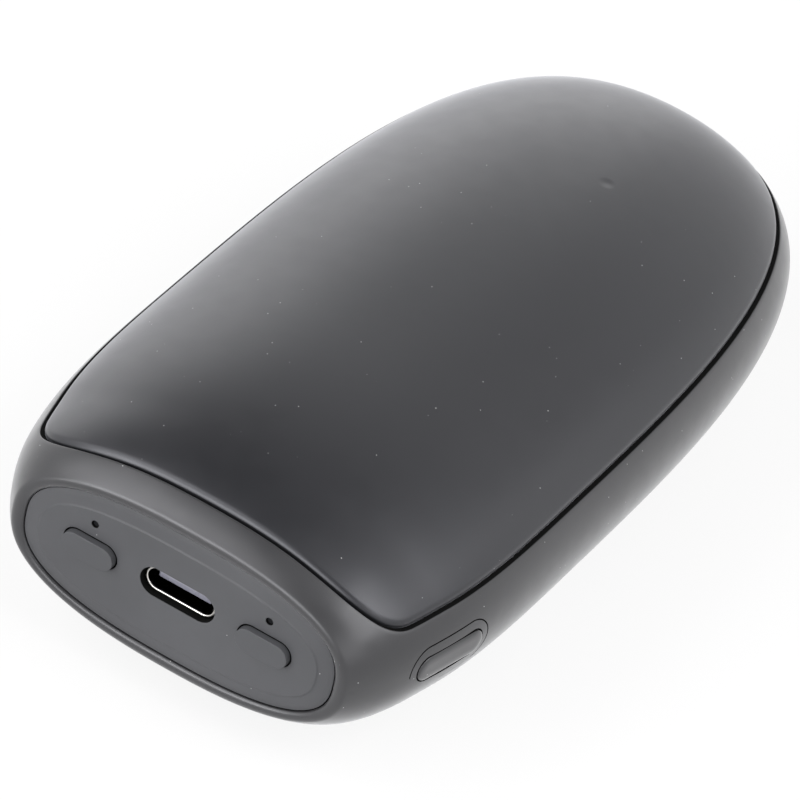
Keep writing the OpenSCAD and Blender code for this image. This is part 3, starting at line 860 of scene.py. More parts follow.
@dataclass(frozen=True)
class Metal(Finish):
    """Bare metal with drawn lines along one axis."""

    colour: Colour
    roughness: float = 0.28
    stretch: Triple = (1.0, 12.0, 1.0)
    line_scale: float = 1500.0
    line_detail: float = 3.0
    line_depth: float = 0.002 * MM
    line_shares: Pair = (0.8, 1.3)
    stain_scale: float = 400.0
    stain_detail: float = 3.0
    stain_share: float = 0.82

    def wire(self, surface: Surface) -> None:
        """Lead the stained colour and the drawn lines into the shader.

        Args:
            surface: The material's tree.
        """
        spot = surface.mapping(Scale=self.stretch)
        lines = surface.noise(self.line_scale, self.line_detail, spot)
        rough = surface.ranged(lines, *(self.roughness * share for share in self.line_shares))
        surface.set(Metallic=1.0, Base_Color=self.metal_colour(surface), Roughness=rough)
        surface.bump(lines, self.line_depth)

    def metal_colour(self, surface: Surface) -> Wire:
        """The colour with its faint stains."""
        stain = surface.ranged(surface.noise(self.stain_scale, self.stain_detail), 0.0, 1.0)
        return surface.mixed(stain, self.colour, shaded(self.colour, self.stain_share))


@dataclass(frozen=True)
class DrawnShell(Metal):
    """Bright at the front rim, with painted shadow darkening it further in."""

    rim_y: float = 0.0
    fade: Pair = (0.05 * MM, 0.2 * MM)
    painted_shadow: Colour = (0.006, 0.006, 0.007)

    def metal_colour(self, surface: Surface) -> Wire:
        """The stained colour, darkened by painted shadow behind the rim.

        Args:
            surface: The material's tree.

        Returns:
            The colour.
        """
        # Painted shadow: the colour fades to near-black from just behind the rim inwards.
        depth = surface.node("ShaderNodeSeparateXYZ", {"Vector": surface.spot})["Y"]
        run = (self.rim_y + self.fade[0], self.rim_y + self.fade[1])
        behind = surface.ranged(depth, 0.0, 1.0, *run)
        return surface.mixed(behind, super().metal_colour(surface), self.painted_shadow)


@dataclass(frozen=True)
class ClearPipe(Finish):
    """Smoky clear moulding of the light pipes."""

    colour: Colour = (0.004, 0.0045, 0.006)
    pale_share: float = 1.2
    transmission: float = 0.3
    ior: float = 1.49
    specular: float = 0.05
    haze: Pair = (0.6, 0.75)
    haze_scale: float = 900.0
    haze_detail: float = 2.0

    def wire(self, surface: Surface) -> None:
        """Lead the haze and the faint clearness into the shader.

        Args:
            surface: The material's tree.
        """
        haze = surface.noise(self.haze_scale, self.haze_detail)
        pale = shaded(self.colour, self.pale_share)
        surface.set(
            Transmission_Weight=self.transmission, IOR=self.ior, Specular_IOR_Level=self.specular,
            Roughness=surface.ranged(haze, *self.haze),
            Base_Color=surface.mixed(surface.ranged(haze, 0.0, 1.0), self.colour, pale),
        )


@dataclass(frozen=True)
class Board(Finish):
    """Lacquered circuit board with copper tracks under the lacquer."""

    lacquer: Colour = (0.012, 0.09, 0.04)
    track: Colour = (0.03, 0.17, 0.07)
    track_depth: float = 0.02 * MM
    track_share: float = 0.16
    scale: float = 420.0
    roughness: float = 0.28

    def wire(self, surface: Surface) -> None:
        """Lead the tracks into the shader.

        Args:
            surface: The material's tree.
        """
        spot = surface.mapping(Rotation=(0.0, 0.0, math.pi / 4))
        inputs = {"Scale": self.scale, "Mortar Size": self.track_share, "Vector": spot}
        tracks = surface.node("ShaderNodeTexBrick", inputs)["Fac"]
        surface.set(
            Roughness=self.roughness, Base_Color=surface.mixed(tracks, self.lacquer, self.track)
        )
        surface.bump(tracks, self.track_depth)


@dataclass(frozen=True)
class HeaterFilm(Finish):
    """Amber film with an etched track that runs to and fro."""

    film: Colour = (0.45, 0.16, 0.02)
    track: Colour = (0.55, 0.42, 0.3)
    track_depth: float = 0.02 * MM
    edge: Pair = (0.45, 0.55)
    scale: float = 120.0
    wander: float = 0.6
    roughness: float = 0.3

    def wire(self, surface: Surface) -> None:
        """Lead the track into the shader.

        Args:
            surface: The material's tree.
        """
        inputs = {"Scale": self.scale, "Distortion": self.wander, "Vector": surface.spot}
        wave = surface.node("ShaderNodeTexWave", inputs, bands_direction="Y")["Fac"]
        lines = surface.ranged(wave, 0.0, 1.0, *self.edge)
        tracked = surface.mixed(lines, self.film, self.track)
        surface.set(Roughness=self.roughness, Base_Color=tracked)
        surface.bump(lines, self.track_depth)


@dataclass(frozen=True)
class FoamCells(Finish):
    """Soft closed-cell foam."""

    colour: Colour = (0.62, 0.61, 0.57)
    dark_share: float = 0.7
    cell_depth: float = 0.1 * MM
    scale: float = 2500.0
    roughness: float = 0.9

    def wire(self, surface: Surface) -> None:
        """Lead the cells into the shader.

        Args:
            surface: The material's tree.
        """
        inputs = {"Scale": self.scale, "Vector": surface.spot}
        cells = surface.node("ShaderNodeTexVoronoi", inputs)["Distance"]
        dark = shaded(self.colour, self.dark_share)
        surface.set(Roughness=self.roughness, Base_Color=surface.mixed(cells, self.colour, dark))
        surface.bump(cells, self.cell_depth)


# The body's pieces


@dataclass(frozen=True)
class Body:
    """What the outer pieces share: the form, its seams and its place."""

    form: Pebble
    seam: Seam
    origin: Vector
    rest: float
    front_count: int = 56
    side_count: int = 112

    @classmethod
    def from_frame(cls) -> Body:
        """Read the sizes from the solid model.

        Returns:
            The body.
        """
        low, high = (Vector(corner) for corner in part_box("frame"))
        cover_low, cover_high = (Vector(corner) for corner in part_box("top_cover"))
        middle = (low.z + high.z) / 2
        form = Pebble(high.y - low.y, high.x - low.x, 2 * (cover_high.z - middle))
        seam = Seam(cover_low.z - middle, cover_low.y - low.y)
        return cls(form, seam, Vector((0.0, low.y, middle)), -middle)

    def seam_loop(self, form: Pebble, grow: float) -> Points:
        """A closed seam on a form, moved out of the cover by a distance."""
        return whole_loop(self.seam.quarter(form, grow, self.front_count, self.side_count))

    def settle(self, piece: Piece, *moves: Matrix) -> None:
        """Move a piece's mesh by matrices, and then to the body's place."""
        for move in (*moves, Matrix.Translation(self.origin)):
            place(piece, move)


@dataclass
class Covers:
    """The two metal covers, with rolled edges."""

    body: Body
    wall: float = 1.0 * MM
    edge_radius: float = 1.0 * MM
    edge_steps: int = 6
    skin_rows: int = 44
    inner_rows: int = 14
    spacing: float = 1.15
    shade_depth: float = 0.92 * MM
    crease: float = 40.0

    def rows(self) -> list[Points]:
        """Rows of one cover from its outer crown over its edge to its inner crown.

        Returns:
            The rows.
        """
        form = self.body.form
        inner = form.shrunk(self.wall)
        loop = self.body.seam_loop(form, 0.0)
        edge = rolled_edge(form, loop, self.edge_radius, self.edge_steps, 1)
        above = np.tile(form.core + np.array([0.0, 0.0, form.thickness]), (len(loop), 1))
        crown, under = form.cast(above), inner.cast(above)
        steps = range(self.skin_rows, 0, -1)
        shares = [(step / self.skin_rows) ** self.spacing for step in steps]
        brim = self.body.seam_loop(inner, 0.0)
        inner_shares = [step / self.inner_rows for step in range(self.inner_rows + 1)]
        outside = [form.between(edge[0], crown, share) for share in shares]
        return outside + edge + [inner.between(brim, under, share) for share in inner_shares]

    def build(self, top: Material, bottom: Material, painted_shade: Material) -> None:
        """Make both covers.

        Args:
            top: Finish of the top cover.
            bottom: Finish of the bottom cover.
            painted_shade: Near-black finish that paints shade on the foot of the edges, down in the seam.
        """
        rows = self.rows()
        resting = [np.maximum(row, [-np.inf, -np.inf, self.body.rest]) for row in upside_down(rows)]
        for name, node, stack, material in (
            ("cover_over", "top_cover", rows, top),
            ("cover_under", "bottom_cover", resting, bottom),
        ):
            piece = lofted(name, stack)
            centres, _ = face_table(piece)
            # Painted shade: faces deeper than shade_depth below the skin, at the foot of the rolled edge, go
            # near-black, except on the flat underside.
            deep = self.body.form.shrunk(self.shade_depth).fullness(centres) < 1.0
            deep &= np.abs(centres[:, 2] - self.body.rest) > self.shade_depth
            self.body.settle(piece)
            smooth(piece, self.crease)
            finish_piece(piece, material, node, painted_shade=painted_shade, deep=deep)


@dataclass
class Band:
    """The moulded frame: side band, socket-end rim, lips, mouth and side pocket."""

    body: Body
    wall: float = 2.2 * MM
    front_wall: float = 3.1 * MM
    gap: float = 0.18 * MM
    lip_depth: float = 1.15 * MM
    lip_height: float = 1.6 * MM
    edge_radius: float = 0.09 * MM
    edge_steps: int = 3
    shade_depth: float = 0.15 * MM
    ground_slope: float = 0.7
    crease: float = 32.0
    band_rows: int = 16
    inner_rows: int = 6
    mouth: Pair = (39.4 * MM, 16.8 * MM)
    mouth_depth: float = 2.1 * MM
    ledge: float = 1.6 * MM
    oval_power: float = 2.6
    rim_start: float = 0.4 * MM
    rim_end: float = 0.6 * MM
    rim_pull: float = 0.55 * MM
    rim_turn: float = 0.558 * MM
    rim_steps: int = 9
    side_y: float = 13.05 * MM
    side_z: float = 0.15 * MM
    pocket: Pair = (12.3 * MM, 5.8 * MM)
    pocket_depth: float = 0.12 * MM
    pocket_sides: int = 96
    groove_width: float = 0.15 * MM
    groove_depth: float = 0.58 * MM
    groove_turns: Pair = (-3.4, 1.8)
    groove_floor: float = 0.15 * MM
    hole: Pair = (10.36 * MM, 3.46 * MM)
    overrun: float = 4.4 * MM

    def outline(self, form: Pebble, front: float) -> Points:
        """Half a loop over the mouth and back along the middle of the side.

        Args:
            form: The skin that it lies on.
            front: Station of its front.

        Returns:
            The points, from the front's top to the back's middle.
        """
        over = form.section(front, self.body.front_count)
        y = slowed(float(over[-1, 1]), form.length - form.inset, power=3)
        side = np.stack([form.half_width(y), y, np.zeros_like(y)], axis=1)
        side[-1, 0] = 0.0
        return np.concatenate([over[:-1], resampled(side, self.body.side_count)])

    def half_rows(self) -> list[Points]:
        """Rows of the upper half, from the middle over the lip to the inner middle.

        Returns:
            The rows.
        """
        body, form = self.body, self.body.form
        lip, inner = form.shrunk(self.lip_depth), form.shrunk(self.wall)
        start = whole_loop(self.outline(form, self.rim_start))
        loop = body.seam_loop(form, self.gap)
        edge = rolled_edge(form, loop, self.edge_radius, self.edge_steps, -1)
        shares = [step / self.band_rows for step in range(1, self.band_rows)]
        brim = body.seam_loop(inner, -self.lip_height)
        end = whole_loop(self.outline(inner, self.front_wall))
        inner_shares = [step / self.inner_rows for step in range(self.inner_rows)]
        return [
            start,
            *(form.between(start, edge[0], share) for share in shares),
            *edge,
            body.seam_loop(lip, self.gap),
            body.seam_loop(lip, -self.lip_height),
            *(inner.between(brim, end, share) for share in inner_shares),
            end,
        ]

    def oval(self, inset: float, y: float) -> Points:
        """Quarter of the mouth's oval, drawn in by an inset, from its top to its right."""
        half = (self.mouth[0] / 2 - inset, self.mouth[1] / 2 - inset)
        return quarter_oval(half, self.oval_power, y, self.body.front_count)

    def mouth_rows(self) -> list[Points]:
        """Rows from the outer rim over its rounding and the ledge to the inner wall.

        Returns:
            The rows.
        """
        form, count = self.body.form, self.body.front_count
        outer = form.section(self.rim_start, count)
        ahead = np.cross(form.normals(outer), unit(np.gradient(outer, axis=0)))
        ahead *= -np.sign(ahead[:, 1:2])
        wall = self.oval(0.0, self.rim_end)
        first = outer + ahead * self.rim_pull
        second = wall - np.array([0.0, self.rim_turn, 0.0])
        quarters = []
        for share in np.linspace(0.0, 1.0, self.rim_steps + 1):
            left = 1.0 - share
            bend = 3 * left**2 * share * first + 3 * left * share**2 * second
            quarters.append(left**3 * outer + bend + share**3 * wall)
        quarters.append(self.oval(0.0, self.mouth_depth))
        quarters.append(self.oval(self.ledge, self.mouth_depth))
        quarters.append(self.oval(self.ledge, self.front_wall))
        quarters.append(form.shrunk(self.wall).section(self.front_wall, count))
        return [full_oval(quarter) for quarter in quarters]

    def side_place(self) -> Matrix:
        """Find the side button's place on the skin.

        Returns:
            The matrix to it from a cutter's coordinates, with its depth along +Y.
        """
        joint = next(j for j in frame["joints"] if j["name"] == "side_button_press")
        inward = Vector(joint["axis"])
        skin = float(self.body.form.half_width(self.side_y))
        turn = Matrix.Rotation(math.atan2(-inward.x, inward.y), 4, "Z")
        return Matrix.Translation((skin, self.side_y, self.side_z)) @ turn

    def cut_pocket(self, piece: Piece) -> None:
        """Cut the side button's shallow pocket, the fine groove round it and its hole.

        Args:
            piece: The frame.
        """
        over, sides = self.overrun, self.pocket_sides
        ring = pill_bar("ring", self.pocket, -over, self.groove_depth, sides)
        core = tuple(length - 2 * self.groove_width for length in self.pocket)
        cut_away(ring, pill_bar("ring_core", core, -2 * over, over, sides))
        for axis, angle in zip("XZ", self.groove_turns):
            place(ring, Matrix.Rotation(math.radians(angle), 4, axis))
        floor = pill_bar("floor", self.pocket, -over, self.pocket_depth, sides)
        hole = pill_bar("hole", self.hole, -over, over, sides)
        for cutter in (floor, ring, hole):
            place(cutter, self.side_place())
            cut_away(piece, cutter)

    def recessed(self, piece: Piece) -> np.ndarray:
        """Mark the faces down in the seams, in the mouth and round the side button, for painted shade.

        Args:
            piece: The frame in the body's coordinates.

        Returns:
            One truth value for each face.
        """
        centres, normals = face_table(piece)
        form = self.body.form
        deep = form.shrunk(self.shade_depth).fullness(centres) < 1.0
        deep &= centres[:, 1] > self.rim_end
        beside = np.abs(centres[:, 1] - self.side_y) < self.pocket[0]
        beside &= np.abs(centres[:, 2] - self.side_z) < self.pocket[1] / 2
        beside &= centres[:, 0] > self.mouth[0] / 2
        ground = normals @ np.array(self.side_place().to_3x3().col[1]) < -self.ground_slope
        deepest = form.shrunk(self.groove_floor).fullness(centres) < 1.0
        # Painted shade: round the side button its walls and the groove's floor go near-black, elsewhere every face
        # deeper than shade_depth behind the rim.
        return np.where(beside, ~ground | deepest, deep)

    def build(self, material: Material, painted_shade: Material) -> None:
        """Make the frame.

        Args:
            material: Its finish.
            painted_shade: Near-black finish that paints shade on the faces down in the seams, in the mouth and
                round the side button.
        """
        rows = self.half_rows()
        stacks = {
            "band_upper": rows, "band_lower": upside_down(rows), "band_mouth": self.mouth_rows()
        }
        piece = joined("moulded_frame", [lofted(name, stack) for name, stack in stacks.items()])
        self.cut_pocket(piece)
        deep = self.recessed(piece)
        self.body.settle(piece)
        smooth(piece, self.crease)
        finish_piece(piece, material, "frame", painted_shade=painted_shade, deep=deep)


@dataclass
class EndPanel:
    """The panel in the mouth, with a sloping border and its holes."""

    body: Body
    band: Band
    play: float = 0.1 * MM
    lift: float = 0.07 * MM
    back: float = 1.9 * MM
    border: float = 1.95 * MM
    drop: float = 0.45 * MM
    edge_radius: float = 0.08 * MM
    edge_shares: Pair = (0.3, 0.25)
    blend: float = 0.2 * MM
    blend_shares: Triple = (0.3, 0.25, 0.6)
    step: float = 0.14 * MM
    step_shares: Pair = (0.6, 0.15)
    button_x: float = 11.1 * MM
    button_z: float = 0.6 * MM
    button_hole: Pair = (6.84 * MM, 3.34 * MM)
    lamp_z: float = 4.0 * MM
    lamp_hole: Pair = (0.92 * MM, 0.92 * MM)
    socket_z: float = 0.85 * MM
    socket_hole: Pair = (9.44 * MM, 3.7 * MM)
    bevel: float = 0.07 * MM
    bevel_steps: int = 2
    bevel_from: float = 50.0
    wall_slope: float = 0.2
    crease: float = 35.0

    def loops(self) -> list[Points]:
        """Rows from the back's edge over the border to the raised middle.

        Returns:
            The rows.
        """
        slope = (self.drop - self.step) / self.border
        play, edge, drop = self.play, self.edge_radius, self.drop
        border, blend, step = self.border, self.blend, self.step
        stations = [
            (play, self.back),
            (play, drop + edge),
            (play + edge * self.edge_shares[0], drop + edge * self.edge_shares[1]),
            (play + edge, drop - slope * edge),
            (border / 2, step + slope * border / 2),
            (border - blend, step + blend * slope),
            (border - self.blend_shares[0] * blend, step),
            (border, self.step_shares[0] * step),
            (border + self.blend_shares[1] * blend, self.step_shares[1] * step),
            (border + self.blend_shares[2] * blend, 0.0),
            (border + blend, 0.0),
        ]
        up = np.array([0.0, 0.0, self.lift])
        return [full_oval(self.band.oval(inset, y)) + up for inset, y in stations]

    def build(self, material: Material, painted_shade: Material) -> None:
        """Make the panel.

        Args:
            material: Its finish.
            painted_shade: Near-black finish that paints shade on its walls.
        """
        piece = lofted("socket_panel", self.loops())
        with edited(piece):
            bpy.ops.mesh.fill_holes(sides=0)
        merge_and_face_out(piece)
        for side in (-1, 1):
            self.drill(piece, self.button_hole, side * self.button_x, self.button_z)
            self.drill(piece, self.lamp_hole, side * self.button_x, self.lamp_z)
        self.drill(piece, self.socket_hole, 0.0, self.socket_z)
        self.body.settle(piece)
        apply_modifier(
            piece, "BEVEL", width=self.bevel, segments=self.bevel_steps, limit_method="ANGLE",
            angle_limit=math.radians(self.bevel_from), use_clamp_overlap=False,
        )
        smooth(piece, self.crease)
        apply_modifier(piece, "WEIGHTED_NORMAL", keep_sharp=True)
        # Painted shade: faces that do not look forward, the walls of the edge and of the holes, go near-black.
        deep = ~facing_front(piece, -self.wall_slope)
        finish_piece(piece, material, "end_panel", painted_shade=painted_shade, deep=deep)

    def drill(self, piece: Piece, size: Pair, x: float, z: float) -> None:
        """Cut one pill-shaped or round hole through the panel.

        Args:
            piece: The panel.
            size: Width and height of the hole.
            x: Its place to the side.
            z: Its place in height.
        """
        cutter = pill_bar("cutter", size, -self.back, 2 * self.back)
        place(cutter, Matrix.Translation((x, 0.0, z)))
        cut_away(piece, cutter)


class Press(Enum):
    """The three press buttons, by the body that carries each."""

    LEFT = "left_button"
    RIGHT = "right_button"
    SIDE = "side_button"


@dataclass(frozen=True)
class Cap:
    """One button's cap, and where its flange and stem lie behind it."""

    name: str
    size: Pair
    proud: float
    radius: float
    flange_at: float
    lift: float


@dataclass
class Buttons:
    """The press buttons: rounded caps with a flange and a stem inside."""

    body: Body
    panel: EndPanel
    cap: Pair = (6.5 * MM, 3.0 * MM)
    proud: float = 0.75 * MM
    side_cap: Pair = (10.0 * MM, 3.1 * MM)
    edge_radius: float = 0.09 * MM
    side_radius: float = 0.95 * MM
    side_crown: float = 0.24
    edge_steps: int = 5
    ring: float = 0.06 * MM
    shade_from: float = 0.04 * MM
    flange_rim: float = 0.6 * MM
    flange: float = 0.7 * MM
    stem: Triple = (2.4 * MM, 0.65 * MM, 1.8 * MM)
    front_flange: float = 2.0 * MM
    side_flange: float = 3.1 * MM
    switch_z: float = 0.6 * MM
    crease: float = 35.0

    def moulding(self, cap: Cap) -> Piece:
        """Make a button along +Y, with zero at the panel or skin that it comes through.

        Args:
            cap: Its sizes.

        Returns:
            The mesh.
        """
        start = self.shade_from if cap.proud else 0.0
        top = pill_bar(cap.name, cap.size, start, cap.flange_at)
        if cap.proud:
            out = (0.0, -cap.proud - self.shade_from, 0.0)
            with edited(top, facing_front(top)):
                bpy.ops.mesh.extrude_region_move(TRANSFORM_OT_translate={"value": out})
        self.round_front(top, cap.radius)
        if not cap.proud:
            self.flatten(top)
        wide = tuple(length + 2 * self.flange_rim for length in cap.size)
        back = cap.flange_at + self.flange
        rim = pill_bar("flange", wide, cap.flange_at, back)
        stem = block("stem", self.stem, (0.0, back + self.stem[1] / 2, cap.lift))
        return joined(cap.name, [top, rim, stem])

    def round_front(self, top: Piece, radius: float) -> None:
        """Round the edge of a cap's front face, and ring the flat that is left.

        Args:
            top: The cap.
            radius: Radius of the rounded edge.
        """
        with edited(top, facing_front(top)):
            bpy.ops.mesh.bevel(
                offset=radius, offset_type="OFFSET", segments=self.edge_steps, affect="EDGES"
            )
        with edited(top, facing_front(top, FLAT_FRONT)):
            bpy.ops.mesh.inset(thickness=self.ring)

    def flatten(self, top: Piece) -> None:
        """Press the side cap's round edge down to a low crown.

        Args:
            top: The rounded cap, with its face at zero.
        """
        reach = self.side_radius + DOUBLES
        high = np.array([vertex.co.y < reach for vertex in top.data.vertices])
        with edited(top, high, "vertices"):
            bpy.ops.transform.resize(value=(1.0, self.side_crown, 1.0), center_override=(0, 0, 0))

    def build(self, material: Material, side_material: Material, painted_shade: Material) -> None:
        """Make the three buttons.

        Args:
            material: Finish of the two on the panel.
            side_material: Finish of the one on the side.
            painted_shade: Near-black finish that paints shade on what lies below the surface round them.
        """
        panel, band = self.panel, self.panel.band
        low = self.side_crown * self.side_radius
        side_sizes = (self.side_cap, 0.0, self.side_radius, self.side_flange)
        sizes = (self.cap, self.proud, self.edge_radius, self.front_flange)
        side_cap = Cap("press_side", *side_sizes, self.switch_z - band.side_z)
        left, right = (
            Cap(name, *sizes, self.switch_z - panel.button_z)
            for name in ("press_left", "press_right")
        )
        left_spot, right_spot = (
            Matrix.Translation((side * panel.button_x, 0.0, panel.button_z)) for side in (-1, 1)
        )
        for press, cap, spot, crown, dress in (
            (Press.LEFT, left, left_spot, 0.0, material),
            (Press.RIGHT, right, right_spot, 0.0, material),
            (Press.SIDE, side_cap, band.side_place(), low, side_material),
        ):
            piece = self.moulding(cap)
            # Painted shade: faces behind the button's face or crown, down in the gap, go near-black.
            deep = face_table(piece)[0][:, 1] > crown + self.shade_from
            self.body.settle(piece, spot)
            smooth(piece, self.crease)
            finish_piece(piece, dress, press.value, press.value, painted_shade=painted_shade, deep=deep)


@dataclass
class Socket:
    """The charging socket: a drawn shell and the blade inside it."""

    body: Body
    panel: EndPanel
    size: Pair = (8.94 * MM, 3.2 * MM)
    length: float = 7.35 * MM
    wall: float = 0.3 * MM
    recess: float = 0.7 * MM
    rim_radius: float = 0.12 * MM
    rim_steps: int = 4
    blade: Pair = (6.7 * MM, 0.7 * MM)
    blade_front: float = 0.9 * MM
    blade_radius: float = 0.12 * MM
    blade_steps: int = 3
    root: float = 2.6 * MM
    root_play: float = 0.05 * MM
    crease: float = 35.0

    def build(self, metal: Material, plastic: Material) -> None:
        """Make the shell and the blade.

        Args:
            metal: Finish of the shell.
            plastic: Finish of the blade.
        """
        spot = Matrix.Translation((0.0, self.recess, self.panel.socket_z))
        for piece, material, slot, node in (
            (self.shell(), metal, "socket_metal", "socket_shell"),
            (self.inner_blade(), plastic, "dark_plastic", "socket_tongue"),
        ):
            self.body.settle(piece, spot)
            smooth(piece, self.crease)
            finish_piece(piece, material, node)

    def shell(self) -> Piece:
        """Hollow a bar from its front and round its rim.

        Returns:
            The mesh.
        """
        piece = pill_bar("socket_case", self.size, 0.0, self.length)
        inward = {"value": (0.0, self.length - self.wall, 0.0)}
        with edited(piece, facing_front(piece)):
            bpy.ops.mesh.inset(thickness=self.wall)
            bpy.ops.mesh.extrude_region_move(TRANSFORM_OT_translate=inward)
        rim = facing_front(piece) & (face_table(piece)[0][:, 1] < self.wall)
        with edited(piece, rim):
            bpy.ops.mesh.bevel(offset=self.rim_radius, segments=self.rim_steps, affect="EDGES")
        merge_and_face_out(piece)
        return piece

    def inner_blade(self) -> Piece:
        """Join the blade and its root block.

        Returns:
            The mesh.
        """
        back = self.length - self.wall
        inner = tuple(length - 2 * self.wall - 2 * self.root_play for length in self.size)
        root = pill_bar("socket_blade", inner, back - self.root, back)
        width, height = self.blade
        run = back - self.root - self.blade_front
        blade = block("blade", (width, run, height), (0.0, self.blade_front + run / 2, 0.0))
        apply_modifier(blade, "BEVEL", width=self.blade_radius, segments=self.blade_steps)
        return joined("socket_blade", [root, blade])


class Insides:
    """Finishes for the solids that keep their own shape."""

    finishes: dict[str, Finish] = {
        "gasket": Moulded("gasket_rubber", (0.015, 0.015, 0.015), 0.85),
        "plunger": Moulded("nylon", (0.62, 0.62, 0.6), 0.5),
        "switch": Metal("switch_steel", (0.5, 0.5, 0.52), 0.35),
        "clear": ClearPipe("smoky_pipe"),
        "lamp": Moulded("lamp_body", (0.78, 0.78, 0.66), 0.3),
        "gold": Metal("contact_gold", (0.75, 0.55, 0.22), 0.25),
        "board": Board("board_lacquer"),
        "dark_plastic": Moulded("chip_black", (0.02, 0.02, 0.021), 0.45, grain_depth=0.01 * MM),
        "coil": Moulded(
            "ferrite", (0.05, 0.05, 0.053), 0.7, grain_scale=3000.0, grain_depth=0.02 * MM
        ),
        "bright_metal": Metal("bright_metal", (0.68, 0.69, 0.7), 0.22, (1.0, 1.0, 8.0)),
        "pale_plastic": Moulded("natural_nylon", (0.72, 0.69, 0.6), 0.45),
        "cell_wrap": Moulded("shrunk_sleeve", (0.03, 0.13, 0.4), 0.25, grain_scale=900.0),
        "nickel": Metal("nickel_strip", (0.62, 0.6, 0.55), 0.3, (8.0, 1.0, 1.0)),
        "inner_plastic": Moulded("cradle_plastic", (0.08, 0.08, 0.085), 0.6),
        "film": HeaterFilm("heater_film"),
        "foam": FoamCells("foam_cells"),
        "red_lead": Moulded("red_lead", (0.5, 0.02, 0.015), 0.4),
        "black_lead": Moulded("black_lead", (0.015, 0.015, 0.015), 0.4),
        "pale_lead": Moulded("pale_lead", (0.68, 0.66, 0.6), 0.45),
    }

    def dress(self) -> None:
        """Give every solid that still shows its finish."""
        built: dict[str, Material] = {}
        for entry in frame["record"]["subparts"]:
            node, slot = entry["node"], entry["material_slot"]
            solid = frame["nodes"][node]
            if solid.hide_render or slot not in self.finishes:
                continue
            if slot not in built:
                built[slot] = self.finishes[slot].build()
            for shown in solid.material_slots:
                shown.material = built[slot]
            log.info("%s: dressed as %s", node, slot)


# The stage


def towards(azimuth: float, elevation: float) -> Vector:
    """Direction from the object, by angles in degrees, with -Y at azimuth 0.

    Args:
        azimuth: Turn towards +X.
        elevation: Height over the level.

    Returns:
        The direction.
    """
    turn, rise = math.radians(azimuth), math.radians(elevation)
    reach = math.cos(rise)
    return Vector((math.sin(turn) * reach, -math.cos(turn) * reach, math.sin(rise)))


def put_in_scene(name: str, data: bpy.types.ID) -> Piece:
    """Make an object of a lamp's or camera's data and put it in the scene.

    Args:
        name: Name of the new object.
        data: The data.

    Returns:
        The object.
    """
    thing = bpy.data.objects.new(name, data)
    bpy.context.scene.collection.objects.link(thing)
    return thing


@dataclass(frozen=True)
class SoftLamp:
    """One square soft lamp, by its direction from the object."""

    name: str
    azimuth: float
    elevation: float
    power: float
    size: float
    distance: float = 1.2

    def build(self) -> None:
        """Hang the lamp, and let it look at the object."""
        data = bpy.data.lights.new(self.name, "AREA")
        data.size = self.size
        data.energy = self.power
        way = towards(self.azimuth, self.elevation)
        lamp = put_in_scene(self.name, data)
        lamp.location = way * self.distance
        lamp.rotation_euler = way.to_track_quat("Z", "Y").to_euler()


